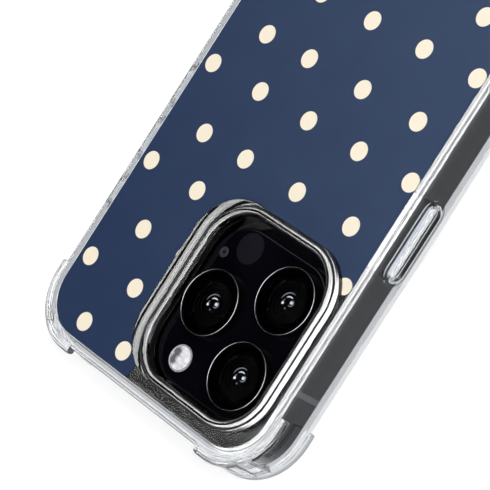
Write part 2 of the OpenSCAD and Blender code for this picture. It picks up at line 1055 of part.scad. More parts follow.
module flash_lens() {
    color([0.9, 0.9, 0.88])
        translate([FLASH[0], FLASH[1], plateau_z - plateau_roof])
            cylinder(r = flash_r, h = plateau_roof + 0.1);
}

module flash_emitter() {
    color([0.95, 0.85, 0.4])
        translate([
            FLASH[0] - emitter_side / 2,
            FLASH[1] - emitter_side / 2,
            plateau_z - plateau_roof - emitter_t
        ])
            cube([emitter_side, emitter_side, emitter_t]);
}

module depth_window() {
    color([0.12, 0.12, 0.13])
        translate([DEPTH[0], DEPTH[1], plateau_z - plateau_roof])
            cylinder(r = depth_r, h = plateau_roof + 0.05);
}

module depth_sensor() {
    color([0.2, 0.25, 0.2])
        translate([DEPTH[0] - depth_side / 2, DEPTH[1] - depth_side / 2, roof_z - 1])
            cube([depth_side, depth_side, plateau_z - plateau_roof - roof_z + 1]);
}

module rear_microphone() {
    color([0.15, 0.15, 0.16])
        translate([MICROPHONE[0], MICROPHONE[1], plateau_z - plateau_roof - 0.8])
            cylinder(r = microphone_r + 0.3, h = 0.8);
}

// ---- Keys ----

// Metal key: its cap runs through the band and a flange behind keeps it in
module metal_key(side, y, l) {
    cap_d = key_proud + key_skin + 0.35;
    color([0.25, 0.25, 0.27])
        on_side(side, y) {
            translate([0, 0, key_proud - cap_d])
                pad(l, key_w, cap_d, 0.15);
            translate([0, 0, key_proud - cap_d - key_flange_t + eps])
                linear_extrude(key_flange_t)
                    slot(l + 2 * key_flange_w, key_w + 2 * key_flange_w);
        }
}

module side_key() {
    metal_key(-1, side_key_y, side_cover_l - key_short);
}

module volume_up_key() {
    metal_key(1, volume_up_y, volume_cover_l - key_short);
}

module volume_down_key() {
    metal_key(1, volume_down_y, volume_cover_l - key_short);
}

module action_key() {
    metal_key(1, action_key_y, action_cover_l - key_short);
}

// Dome switches behind the keys, each on its own strip
module key_switches() {
    dome_z = -key_skin - 0.35 - key_flange_t - key_travel - 2 * bond_gap;
    color([0.75, 0.6, 0.3])
        for (k = KEYS)
            on_side(k[0], k[1]) {
                translate([0, 0, dome_z - switch_t])
                    cylinder(r = dome_r, h = switch_t);
                translate([-strip_w / 2, strip_short - k[2] / 2, dome_z - switch_t - strip_t])
                    cube([strip_w, k[2] - 2 * strip_short, strip_t + eps]);
            }
}

// ---- Bottom end ----

module port_shell() {
    color([0.7, 0.7, 0.72])
        on_end(0)
            translate([0, 0, -port_d])
                difference() {
                    linear_extrude(port_d - 0.4)
                        rotate(90)
                            slot(port_w - 2 * bond_gap, port_h - 2 * bond_gap);
                    translate([0, 0, 1])
                        linear_extrude(port_d)
                            rotate(90)
                                slot(port_w - 2 * port_wall, port_h - 2 * port_wall);
                }
}

module port_tongue() {
    color([0.08, 0.08, 0.09])
        on_end(0)
            translate([-tongue_w / 2, -tongue_t / 2, 1 - port_d])
                cube([tongue_w, tongue_t, port_d - 2.4]);
}

// Carrier of the port, screwed to the midplate
module port_block() {
    color([0.12, 0.12, 0.13])
        difference() {
            translate([-port_w / 2 - port_side, -end_y + band_wall + bond_gap, tray_z])
                cube([port_w + 2 * port_side, port_d, mid_z + port_h / 2 + port_over - tray_z]);
            on_end(0)
                translate([0, 0, -port_d])
                    linear_extrude(port_d)
                        rotate(90)
                            slot(port_w, port_h);
        }
}

module bottom_screws() {
    color([0.5, 0.5, 0.52])
        on_end(0)
            for (x = [-screw_x, screw_x])
                translate([x, 0, -screw_d])
                    difference() {
                        cylinder(r = screw_r - bond_gap, h = screw_d - 0.2);
                        translate([0, 0, screw_d - 0.7])
                            cylinder(r = 0.3, h = 1, $fn = 5);
                    }
}

// Dust meshes inside the band, behind the sound holes
module sound_meshes() {
    color([0.1, 0.1, 0.1])
        at_sound_rows()
            translate([-sound_l / 2, -mesh_w / 2, -band_wall - mesh_t - bond_gap])
                cube([sound_l, mesh_w, mesh_t]);
}

module loudspeaker() {
    color([0.16, 0.16, 0.17])
        translate([speaker_x, motor_y, tray_z])
            cube([speaker_w, speaker_l, roof_z - tray_z - 0.3]);
}

module motor_case() {
    color([0.62, 0.63, 0.66])
        difference() {
            translate([motor_x, motor_y, tray_z])
                cube([motor_l, motor_w, motor_h]);
            translate([motor_x + motor_skin, motor_y + motor_skin, tray_z + motor_skin])
                cube([motor_l - 2 * motor_skin, motor_w - 2 * motor_skin, motor_h - 2 * motor_skin]);
        }
}

// The weight that the motor shakes from side to side
module motor_weight() {
    room = motor_travel + 0.3;
    color([0.45, 0.45, 0.47])
        translate([
            motor_x + motor_skin + room,
            motor_y + motor_skin + 0.2,
            tray_z + motor_skin + 0.2
        ])
            cube([
                motor_l - 2 * (motor_skin + room),
                motor_w - 2 * motor_skin - 0.4,
                motor_h - 2 * motor_skin - 0.4
            ]);
}

// ---- Middle and top end ----

module battery() {
    color([0.1, 0.1, 0.11])
        translate([battery_x, battery_y, tray_z])
            slab(battery_w, battery_l, battery_corner, coil_z - tray_z);
}

// L-shaped board beside the battery
module logic_board() {
    color([0.05, 0.2, 0.12])
        translate([board_x, board_low, tray_z]) {
            cube([board_w, board_l, board_t]);
            translate([0, board_l - eps, 0])
                cube([board_w * 0.4, board_neck, board_t]);
        }
}

module board_shields() {
    tall = board_l / shield_rows;
    color([0.66, 0.67, 0.7])
        for (i = [0 : shield_rows - 1])
            translate([board_x + shield_in, board_low + shield_in + i * tall, tray_z + board_t])
                cube([board_w - 2 * shield_in, tall - 2 * shield_in, shield_h]);
}

module charging_coil() {
    color([0.72, 0.42, 0.25])
        translate([0, 0, coil_z])
            difference() {
                cylinder(r = coil_r, h = coil_t);
                translate([0, 0, -eps])
                    cylinder(r = coil_r * coil_hole, h = coil_t + 2 * eps);
            }
}

// Ring of magnets round the charging coil
module alignment_magnets() {
    color([0.55, 0.56, 0.58])
        translate([0, 0, coil_z])
            difference() {
                cylinder(r = coil_r + magnet_gap + magnet_w, h = coil_t);
                translate([0, 0, -eps])
                    cylinder(r = coil_r + magnet_gap, h = coil_t + 2 * eps);
            }
}

module earpiece() {
    color([0.14, 0.14, 0.15])
        translate([earpiece_x, end_y - band_wall - earpiece_l - room_gap, tray_z])
            cube([earpiece_w, earpiece_l, earpiece_h]);
}

module front_camera() {
    color([0.05, 0.05, 0.08])
        translate([0, end_y - front_camera_from_top, shelf_z])
            cylinder(r = front_camera_r, h = display_t);
}

module display_flex() {
    color([0.75, 0.45, 0.2])
        translate([flex_x, battery_top + flex_gap, tray_z])
            cube([flex_w, flex_l, flex_t]);
}

module tray_screws() {
    color([0.5, 0.5, 0.52])
        for (y = [battery_low - tray_screw_below, board_low + tray_screw_above])
            translate([-inner_w / 2 + tray_screw_in, y, tray_z])
                cylinder(r = tray_screw_r, h = tray_screw_h);
}

bumper_frame();
back_plate();
print_field();
print_dots();
camera_guard();
side_key_cover();
volume_up_cover();
volume_down_cover();
action_key_cover();
side_band();
antenna_breaks();
midplate();
screen_glass();
display_module();
back_glass();
camera_plateau();
wide_lens_ring();
ultrawide_lens_ring();
tele_lens_ring();
wide_lens_window();
ultrawide_lens_window();
tele_lens_window();
wide_lens_barrel();
ultrawide_lens_barrel();
tele_lens_barrel();
wide_sensor_block();
ultrawide_sensor_block();
tele_sensor_block();
flash_lens();
flash_emitter();
depth_window();
depth_sensor();
rear_microphone();
side_key();
volume_up_key();
volume_down_key();
action_key();
key_switches();
port_shell();
port_tongue();
port_block();
bottom_screws();
sound_meshes();
battery();
logic_board();
board_shields();
charging_coil();
alignment_magnets();
motor_case();
motor_weight();
loudspeaker();
earpiece();
front_camera();
display_flex();
tray_screws();
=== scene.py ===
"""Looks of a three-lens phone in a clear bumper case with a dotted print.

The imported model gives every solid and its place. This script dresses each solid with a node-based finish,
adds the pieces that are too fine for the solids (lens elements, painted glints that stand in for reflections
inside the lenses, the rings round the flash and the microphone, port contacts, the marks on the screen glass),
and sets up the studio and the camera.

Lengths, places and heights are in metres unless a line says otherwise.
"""

import logging
import math
from dataclasses import dataclass
from enum import Enum
from typing import Callable, ClassVar, Protocol, Sequence

import bmesh
import bpy
from mathutils import Matrix, Vector


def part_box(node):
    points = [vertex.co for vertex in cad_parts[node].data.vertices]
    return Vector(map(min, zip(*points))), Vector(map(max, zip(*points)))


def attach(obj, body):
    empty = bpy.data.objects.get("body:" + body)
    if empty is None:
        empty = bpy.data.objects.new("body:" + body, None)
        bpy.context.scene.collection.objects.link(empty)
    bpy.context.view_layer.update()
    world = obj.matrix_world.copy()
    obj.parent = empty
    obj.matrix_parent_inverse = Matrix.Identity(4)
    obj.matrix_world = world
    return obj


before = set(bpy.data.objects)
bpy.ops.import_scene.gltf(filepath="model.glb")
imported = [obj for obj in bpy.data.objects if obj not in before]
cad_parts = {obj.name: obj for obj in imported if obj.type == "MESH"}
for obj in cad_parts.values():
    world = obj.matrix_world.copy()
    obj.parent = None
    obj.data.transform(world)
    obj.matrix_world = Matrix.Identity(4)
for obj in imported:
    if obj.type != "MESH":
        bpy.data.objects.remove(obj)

log = logging.getLogger("phone_in_case")
MM = 0.001

Colour = tuple[float, float, float]
Point = tuple[float, float]
Socket = bpy.types.NodeSocket
Mesh = bmesh.types.BMesh


def linear(red: int, green: int, blue: int) -> Colour:
    """Turns a display colour into the linear light that the shaders work in.

    Args:
        red: Red level, 0 to 255.
        green: Green level, 0 to 255.
        blue: Blue level, 0 to 255.

    Returns:
        The colour in linear light.
    """

    def level(value: int) -> float:
        """One channel in linear light."""
        share = value / 255
        return share / 12.92 if share <= 0.04045 else ((share + 0.055) / 1.055) ** 2.4

    return level(red), level(green), level(blue)


class Body(Enum):
    """The CAD bodies that pieces ride on."""

    PHONE = "phone_in_case"
    WIDE = "wide_focus_unit"
    ULTRAWIDE = "ultrawide_focus_unit"
    TELE = "tele_focus_unit"


@dataclass(frozen=True)
class Rounded:
    """A rounded rectangle seen from above.

    Attributes:
        low: Least corner.
        high: Greatest corner.
        corner: Corner radius.
    """

    low: Vector
    high: Vector
    corner: float

    def inset(self, by: float) -> "Rounded":
        """The rectangle drawn in by a distance on all sides."""
        step = Vector((by, by, 0))
        return Rounded(self.low + step, self.high - step, self.corner - by)


# ---- Finishes ----


class Tree:
    """A node tree with short calls that add nodes."""

    def __init__(self, tree: bpy.types.NodeTree) -> None:
        """Takes a node tree.

        Args:
            tree: The tree of a material or a world.
        """
        self.nodes = tree.nodes
        self.links = tree.links

    def calc(self, operation: str, first: object, second: object = 0.0) -> Socket:
        """One sum on sockets or numbers.

        Args:
            operation: Name of the Math node's operation.
            first: Socket or number.
            second: Socket or number.

        Returns:
            The result.
        """
        node = self.nodes.new("ShaderNodeMath")
        node.operation = operation
        for socket, value in zip(node.inputs, (first, second)):
            if isinstance(value, Socket):
                self.links.new(value, socket)
            else:
                socket.default_value = value
        return node.outputs[0]

    def plus(self, first: object, second: object) -> Socket:
        """First and second added."""
        return self.calc("ADD", first, second)

    def less(self, first: object, second: object) -> Socket:
        """First less second."""
        return self.calc("SUBTRACT", first, second)

    def times(self, first: object, second: object) -> Socket:
        """First times second."""
        return self.calc("MULTIPLY", first, second)

    def parts(self, vector: Socket) -> bpy.types.NodeOutputs:
        """The X, Y and Z of a vector."""
        split = self.nodes.new("ShaderNodeSeparateXYZ")
        self.links.new(vector, split.inputs["Vector"])
        return split.outputs

    def ranged(self, level: Socket, smooth: bool = False, **ends: float) -> Socket:
        """Moves a level from one range to another.

        Args:
            level: The level.
            smooth: Whether the change starts and ends softly.
            **ends: From_Min, From_Max, To_Min and To_Max where they aren't 0 or 1.

        Returns:
            The moved level.
        """
        node = self.nodes.new("ShaderNodeMapRange")
        node.interpolation_type = "SMOOTHSTEP" if smooth else "LINEAR"
        for name, value in ends.items():
            node.inputs[name.replace("_", " ")].default_value = value
        self.links.new(level, node.inputs["Value"])
        return node.outputs["Result"]


class Mix(Tree):
    """A material under construction."""

    def __init__(self, name: str) -> None:
        """Starts a material with one shader.

        Args:
            name: The material's name.
        """
        self.material = bpy.data.materials.new(name)
        self.material.use_nodes = True
        super().__init__(self.material.node_tree)
        self.shader = self.nodes["Principled BSDF"]

    def set(self, **values: float | Colour) -> "Mix":
        """Sets the shader's own sockets, named with underscores for spaces.

        Args:
            **values: Socket name and its value.

        Returns:
            This mix, so that calls can be chained.
        """
        for name, value in values.items():
            socket = self.shader.inputs[name.replace("_", " ")]
            socket.default_value = (*value, 1.0) if isinstance(value, tuple) else value
        return self

    def place(self) -> Socket:
        """The surface point in metres, in the row frame."""
        return self.nodes.new("ShaderNodeTexCoord").outputs["Object"]

    def stretched(self, scale: Sequence[float]) -> Socket:
        """The surface point with each axis scaled.

        Args:
            scale: Factor along X, Y and Z.

        Returns:
            The scaled point.
        """
        mapping = self.nodes.new("ShaderNodeMapping")
        mapping.inputs["Scale"].default_value = scale
        self.links.new(self.place(), mapping.inputs["Vector"])
        return mapping.outputs["Vector"]

    def noise(self, scale: float, detail: float = 3, stretch: Sequence[float] = (1, 1, 1)) -> Socket:
        """Smooth noise from 0 to 1.

        Args:
            scale: Features per metre.
            detail: Octaves.
            stretch: Factor on each axis.

        Returns:
            The noise level.
        """
        node = self.nodes.new("ShaderNodeTexNoise")
        node.inputs["Scale"].default_value = scale
        node.inputs["Detail"].default_value = detail
        self.links.new(self.stretched(stretch), node.inputs["Vector"])
        return node.outputs["Fac"]

    def blend(self, level: Socket, low: Colour, high: Colour, start: float = 0.0, end: float = 1.0) -> Socket:
        """A colour that goes from low to high as level goes from start to end.

        Args:
            level: What drives the blend.
            low: Colour at start.
            high: Colour at end.
            start: Level of the low colour.
            end: Level of the high colour.

        Returns:
            The blended colour.
        """
        ramp = self.nodes.new("ShaderNodeValToRGB")
        ramp.color_ramp.elements[0].position = start
        ramp.color_ramp.elements[0].color = (*low, 1)
        ramp.color_ramp.elements[1].position = end
        ramp.color_ramp.elements[1].color = (*high, 1)
        self.links.new(level, ramp.inputs["Fac"])
        return ramp.outputs["Color"]

    def spread(self, level: Socket, low: float, high: float) -> Socket:
        """A level from 0 to 1, moved to the range from low to high.

        Args:
            level: Level from 0 to 1.
            low: Result at 0.
            high: Result at 1.

        Returns:
            The moved level.
        """
        return self.ranged(level, To_Min=low, To_Max=high)

    def outside(self, edge: Rounded) -> Socket:
        """Distance outwards from a rounded rectangle.

        Args:
            edge: The rectangle.

        Returns:
            The distance, 0 inside.
        """
        place = self.parts(self.place())
        past = []
        for axis in (0, 1):
            middle = (edge.low[axis] + edge.high[axis]) / 2
            half = (edge.high[axis] - edge.low[axis]) / 2 - edge.corner
            away = self.calc("ABSOLUTE", self.less(place[axis], middle))
            past.append(self.calc("MAXIMUM", self.less(away, half), 0.0))
        square = self.plus(*(self.times(side, side) for side in past))
        return self.calc("MAXIMUM", self.less(self.calc("SQRT", square), edge.corner), 0.0)

    def below(self, height: float, band: float) -> Socket:
        """Level 1 under a height and 0 over it.

        Args:
            height: The height.
            band: Height over which the level changes.

        Returns:
            The level.
        """
        up = self.parts(self.place())["Z"]
        return self.ranged(up, From_Min=height, From_Max=height + band, To_Min=1.0, To_Max=0.0)

    def feed(self, name: str, level: Socket) -> None:
        """Links a socket to one of the shader's inputs.

        Args:
            name: The shader input's name.
            level: What feeds it.
        """
        self.links.new(level, self.shader.inputs[name])

    def bump(self, height: Socket, depth: float) -> None:
        """Raises the surface by height.

        Args:
            height: How many times depth each place is raised.
            depth: The depth that height counts.
        """
        node = self.nodes.new("ShaderNodeBump")
        node.inputs["Distance"].default_value = depth
        node.inputs["Strength"].default_value = 1.0
        self.links.new(height, node.inputs["Height"])
        self.links.new(node.outputs["Normal"], self.shader.inputs["Normal"])


class Finish(Protocol):
    """What every finish has: a name and a material."""

    name: str

    def material(self) -> bpy.types.Material:
        """The finished material."""


@dataclass(frozen=True)
class ClearMoulding:
    """Clear, flexible, glossy moulding with faint flow ripples.

    Attributes:
        name: Material name.
        tint: Colour of the body.
        roughness: Surface roughness.
        ripple: Depth of the flow ripples.
        bend: Refractive index.
        edge: Where a falling crown starts, if there is one.
        crown: Fall of the crown for each unit outwards.
        crown_w: Width of the crown; fine flow lines follow it.
        line_w: Distance between the flow lines.
        line_fall: Steepest rise or fall on a flow line.
        roof_z: Height where a falling roof starts, if there is one.
        roof: Fall of the roof for each unit upwards.
    """

    name: str
    tint: Colour = (0.87, 0.90, 0.94)
    roughness: float = 0.03
    ripple: float = 0.02 * MM
    bend: float = 1.38
    edge: Rounded | None = None
    crown: float = 0.45
    crown_w: float = 1.45 * MM
    line_w: float = 0.62 * MM
    line_fall: float = 0.7
    roof_z: float | None = None
    roof: float = 1.1

    def material(self) -> bpy.types.Material:
        """The finished material."""
        mix = Mix(self.name).set(Base_Color=self.tint, Roughness=self.roughness)
        mix.set(IOR=self.bend, Transmission_Weight=1.0)
        height = mix.times(mix.noise(260, 2, (1, 1, 0.5)), self.ripple)
        if self.edge is not None:
            away = mix.outside(self.edge)
            past = mix.calc("MAXIMUM", mix.less(away, self.crown_w), 0.0)
            turn = 2 * math.pi / self.line_w
            wave = mix.calc("SINE", mix.times(past, turn))
            lines = mix.times(wave, self.line_fall / turn)
            fall = mix.times(mix.calc("MINIMUM", away, self.crown_w), self.crown)
            height = mix.plus(mix.less(height, fall), lines)
        if self.roof_z is not None:
            rise = mix.calc("MAXIMUM", mix.less(mix.parts(mix.place())["Z"], self.roof_z), 0.0)
            height = mix.less(height, mix.times(rise, self.roof))
        mix.bump(height, 1.0)
        return mix.material


@dataclass(frozen=True)
class GuardMoulding:
    """The clear moulding of the camera guard: a leaning wall and a low step with two soft swells.

    Attributes:
        name: Material name.
        edge: Outside of the guard wall.
        step: Height of the low step's top.
        wall: Thickness of the guard wall.
        slope: Mean rise of the step for each unit outwards.
        wave: Distance between the swells of the step.
        wave_start: Distance from the wall to where the swells start.
        wave_share: Strength of the swells as a share of the slope.
        step_over: Distance over the step's top where its slope ends.
        step_fade: Height over which it ends.
        lean: How far the wall's outer face leans for each unit down.
        lean_top: Distance from the wall's top to where the lean starts.
        lean_h: Height of the part that leans.
        ripple: Depth of the flow ripples.
        bend: Refractive index on the phone's outer side and towards its middle.
        tint: Colour of the body.
    """

    name: str
    edge: Rounded
    step: float
    wall: float
    slope: float = 0.34
    wave: float = 2.5 * MM
    wave_start: float = 1.7 * MM
    wave_share: float = 0.75
    step_over: float = 0.02 * MM
    step_fade: float = 0.1 * MM
    lean: float = 1.1
    lean_top: float = 0.8 * MM
    lean_h: float = 1.4 * MM
    ripple: float = 0.006 * MM
    bend: tuple[float, float] = (1.62, 1.4)
    tint: Colour = (0.87, 0.90, 0.94)

    def material(self) -> bpy.types.Material:
        """The finished material."""
        mix = Mix(self.name).set(Base_Color=self.tint, Roughness=0.03, Transmission_Weight=1.0)
        low, high = self.edge.low, self.edge.high
        place = mix.parts(mix.place())
        across = mix.calc("DIVIDE", mix.less(place["X"], low.x), high.x - low.x)
        across = mix.calc("MINIMUM", mix.calc("MAXIMUM", across, 0.0), 1.0)
        mix.feed("IOR", mix.spread(across, *self.bend))
        away = mix.outside(self.edge)
        turn = 2 * math.pi / self.wave
        swell = mix.calc("SINE", mix.times(mix.less(away, self.wave_start), turn))
        swell = mix.calc("DIVIDE", swell, turn / self.wave_share)
        fall = mix.times(mix.less(away, swell), self.slope)
        fall = mix.times(fall, mix.below(self.step + self.step_over, self.step_fade))
        outer = mix.calc("GREATER_THAN", mix.outside(self.edge.inset(self.wall / 2)), 0.0)
        depth = mix.calc("MAXIMUM", mix.less(high.z - self.lean_top, place["Z"]), 0.0)
        depth = mix.times(mix.calc("MINIMUM", depth, self.lean_h), outer)
        fall = mix.plus(fall, mix.times(depth, self.lean))
        ripple = mix.times(mix.noise(260, 2), self.ripple)
        mix.bump(mix.plus(fall, ripple), 1.0)
        return mix.material


@dataclass(frozen=True)
class ClearSheet:
    """Clear hard back plate with a fine grid of dots that keeps it from sticking to the phone.

    Attributes:
        name: Material name.
        tint: Colour of the sheet.
        pitch: Distance between the fine dots.
        depth: Height of the fine dots.
        roughness: Surface roughness.
    """

    name: str = "clear_sheet"
    tint: Colour = (0.93, 0.96, 1.0)
    pitch: float = 0.8 * MM
    depth: float = 0.06 * MM
    roughness: float = 0.2

    def material(self) -> bpy.types.Material:
        """The finished material."""
        mix = Mix(self.name).set(Base_Color=self.tint, Roughness=self.roughness)
        mix.set(IOR=1.49, Transmission_Weight=1.0)
        place = mix.parts(mix.place())
        turn = 2 * math.pi / self.pitch
        waves = [mix.calc("SINE", mix.times(place[axis], turn)) for axis in ("X", "Y")]
        mix.bump(mix.spread(mix.times(*waves), 0.5, 1.0), self.depth)
        return mix.material


@dataclass(frozen=True)
class PrintedInk:
    """Satin printed ink with a little unevenness, and painted light that makes it lighter towards -X and -Y.

    Attributes:
        name: Material name.
        colour: Main colour.
        shade: Darker colour: the painted shade towards +X and +Y, and the darker uneven patches.
        roughness: Surface roughness.
        level: Strength of the mirror reflection.
        fade: Painted light: level of the main colour at the origin, and its change for each metre along X and
            Y.
        patchy: Range of the uneven patches in that level.
    """

    name: str
    colour: Colour
    shade: Colour
    roughness: float = 0.42
    level: float = 0.02
    fade: tuple[float, float, float] = (0.52, -7.1, -6.0)
    patchy: float = 0.35

    def material(self) -> bpy.types.Material:
        """The finished material."""
        mix = Mix(self.name).set(IOR=1.45, Specular_IOR_Level=self.level)
        place = mix.parts(mix.place())
        start, across, along = self.fade
        # Painted light: the level falls along X and Y, so the ink is lighter towards -X and -Y.
        slope = mix.plus(mix.times(place["X"], across), mix.times(place["Y"], along))
        patchy = mix.times(mix.less(mix.noise(90, 4), 0.5), self.patchy)
        level = mix.plus(mix.plus(slope, start), patchy)
        mix.feed("Base Color", mix.blend(level, self.shade, self.colour))
        mix.feed("Roughness", mix.spread(mix.noise(1500, 2), self.roughness - 0.05, self.roughness + 0.05))
        mix.bump(mix.noise(9000, 2), 0.004 * MM)
        return mix.material


@dataclass(frozen=True)
class BrushedMetal:
    """Metal with fine brush lines along the phone's edge.

    Attributes:
        name: Material name.
        colour: Metal colour.
        roughness: Surface roughness.
        stretch: Noise scale on each axis: small along the brush lines.
    """

    name: str
    colour: Colour
    roughness: float = 0.35
    stretch: tuple[float, float, float] = (0.02, 0.02, 1.0)

    def material(self) -> bpy.types.Material:
        """The finished material."""
        mix = Mix(self.name).set(Metallic=1.0)
        grain = mix.noise(9000, 3, self.stretch)
        darker = tuple(0.8 * level for level in self.colour)
        mix.feed("Base Color", mix.blend(grain, darker, self.colour, 0.3, 0.7))
        mix.feed("Roughness", mix.spread(grain, self.roughness - 0.08, self.roughness + 0.1))
        mix.bump(grain, 0.004 * MM)
        return mix.material


@dataclass(frozen=True)
class DarkGlass:
    """Near-black coated glass.

    Attributes:
        name: Material name.
        colour: Body colour.
        roughness: Surface roughness.
        level: Strength of the surface's mirror reflection; 0.5 is plain glass.
    """

    name: str
    colour: Colour
    roughness: float
    level: float

    def material(self) -> bpy.types.Material:
        """The finished material."""
        mix = Mix(self.name).set(Roughness=self.roughness, IOR=1.5, Specular_IOR_Level=self.level)
        lift = tuple(1.25 * level + 0.0005 for level in self.colour)
        mix.feed("Base Color", mix.blend(mix.noise(60, 2), self.colour, lift, 0.4, 0.6))
        mix.bump(mix.noise(400, 1), 0.0005 * MM)
        return mix.material


@dataclass(frozen=True)
class CoatedLens:
    """Clear lens glass with a low-reflection coating.

    Attributes:
        name: Material name.
        tint: Colour of the glass.
        bend: Refractive index, low because the coating takes most of the reflection away.
    """

    name: str
    tint: Colour = (0.95, 0.96, 1.0)
    bend: float = 1.07

    def material(self) -> bpy.types.Material:
        """The finished material."""
        mix = Mix(self.name).set(Base_Color=self.tint, Roughness=0.01)
        mix.set(IOR=self.bend, Transmission_Weight=1.0)
        mix.bump(mix.noise(300, 1), 0.0003 * MM)
        return mix.material


@dataclass(frozen=True)
class Moulded:
    """Plain moulded plastic or resin with a fine grain.

    Attributes:
        name: Material name.
        colour: Main colour.
        roughness: Surface roughness.
        grain: Height of the grain.
        metallic: 1 for metal, 0 for plastic.
        level: Strength of the mirror reflection.
    """

    name: str
    colour: Colour
    roughness: float = 0.5
    grain: float = 0.01 * MM
    metallic: float = 0.0
    level: float = 0.5

    def material(self) -> bpy.types.Material:
        """The finished material."""
        mix = Mix(self.name).set(Metallic=self.metallic, Specular_IOR_Level=self.level)
        low = tuple(0.85 * level for level in self.colour)
        mix.feed("Base Color", mix.blend(mix.noise(400, 3), low, self.colour, 0.3, 0.6))
        mix.feed("Roughness", mix.spread(mix.noise(2500, 2), self.roughness - 0.05, self.roughness + 0.05))
        mix.bump(mix.noise(4000, 2), self.grain)
        return mix.material


@dataclass(frozen=True)
class FlashLens:
    """Pressed flash diffuser with bright facets and a dark gap beside the emitter.

    Attributes:
        middle: Middle of the diffuser.
        name: Material name.
        light: Colour of the bright facets.
        dark: Colour of the gap.
        gap_from: Least corner of the dark gap, from the middle.
        gap_to: Greatest corner of the dark gap, from the middle.
        gap_corner: Corner radius of the gap.
        soft: Distance over which the gap fades.
        facet_share: Share of the facets in the brightness; the gap has the rest.
    """

    middle: Vector
    name: str = "flash_diffuser"
    light: Colour = linear(236, 236, 241)
    dark: Colour = linear(58, 58, 64)
    gap_from: tuple[float, float, float] = (1.45 * MM, -1.35 * MM, 0.0)
    gap_to: tuple[float, float, float] = (2.0 * MM, 1.35 * MM, 0.0)
    gap_corner: float = 0.25 * MM
    soft: float = 1.2 * MM
    facet_share: float = 0.6

    def material(self) -> bpy.types.Material:
        """The finished material."""
        mix = Mix(self.name).set(Roughness=0.3)
        facets = mix.noise(420, 2, (1.0, 1.6, 1.0))
        low, high = self.middle + Vector(self.gap_from), self.middle + Vector(self.gap_to)
        away = mix.outside(Rounded(low, high, self.gap_corner))
        near = mix.calc("MINIMUM", mix.calc("DIVIDE", away, self.soft), 1.0)
        bright = mix.times(facets, self.facet_share)
        level = mix.plus(bright, mix.times(near, 1 - self.facet_share))
        mix.feed("Base Color", mix.blend(level, self.dark, self.light, 0.4, 0.75))
        mix.bump(facets, 0.05 * MM)
        return mix.material


SHEET = ClearSheet()
# Both inks carry the painted light of PrintedInk: lighter towards -X and -Y.
NAVY = PrintedInk("navy_ink", linear(58, 72, 98), linear(38, 52, 79))
CREAM = PrintedInk("cream_ink", linear(253, 242, 221), linear(246, 235, 212))
BAND = BrushedMetal("dark_band", linear(17, 17, 19))
BREAK = Moulded("antenna_resin", linear(70, 70, 74), 0.45)
BACK = DarkGlass("black_back_glass", linear(9, 9, 13), 0.08, 0.05)
PLATEAU = DarkGlass("plateau_glass", linear(4, 4, 8), 0.03, 0.02)
SCREEN = DarkGlass("screen_glass", linear(8, 8, 10), 0.02, 0.5)
RING = Moulded("black_ring", linear(4, 4, 6), 0.12, 0.0002 * MM, 0.0, 0.02)
TRIM = Moulded("polished_bevel", linear(110, 110, 113), 0.08, 0.0002 * MM, 1.0)
ELEMENT = DarkGlass("coated_element", linear(3, 3, 5), 0.1, 0.02)
LENS = CoatedLens("lens_window_glass")
BARREL = Moulded("barrel_black", linear(5, 5, 6), 0.5, 0.002 * MM, 0.0, 0.02)
# Painted glints: pale pieces inside the lenses that stand in for reflections, bright and faint.
PAINTED_GLINT = Moulded("painted_glint", linear(252, 253, 255), 0.35, 0.0005 * MM)
PAINTED_FAINT_GLINT = Moulded("painted_faint_glint", linear(140, 142, 148), 0.35, 0.0005 * MM)
BEZEL = Moulded("flash_bezel", linear(120, 120, 126), 0.3, 0.001 * MM)
EMITTER = Moulded("emitter_yellow", linear(240, 215, 110), 0.5)
DARK_WINDOW = DarkGlass("infrared_window", linear(22, 21, 27), 0.06, 0.02)
GRILLE = Moulded("microphone_grille", linear(11, 11, 14), 0.6, 0.004 * MM, 0.0, 0.05)
TRAY = Moulded("tray_alloy", linear(165, 168, 172), 0.35, 0.004 * MM, 1.0)
STEEL = Moulded("port_steel", linear(150, 150, 154), 0.25, 0.002 * MM, 1.0)
BLACK = Moulded("black_moulding", linear(24, 24, 26), 0.5)
BOARD = Moulded("board_green", linear(22, 78, 52), 0.4)
COPPER = Moulded("copper_winding", linear(200, 125, 80), 0.3, 0.006 * MM, 1.0)
NICKEL = Moulded("plated_magnets", linear(165, 167, 172), 0.3, 0.003 * MM, 1.0)
GOLD = Moulded("gold_contacts", linear(214, 176, 98), 0.25, 0.001 * MM, 1.0)
BORDER = Moulded("picture_border_black", linear(34, 34, 38), 0.4, 0.001 * MM)
FRONT_LENS = DarkGlass("front_lens_glass", linear(16, 18, 34), 0.03, 0.5)


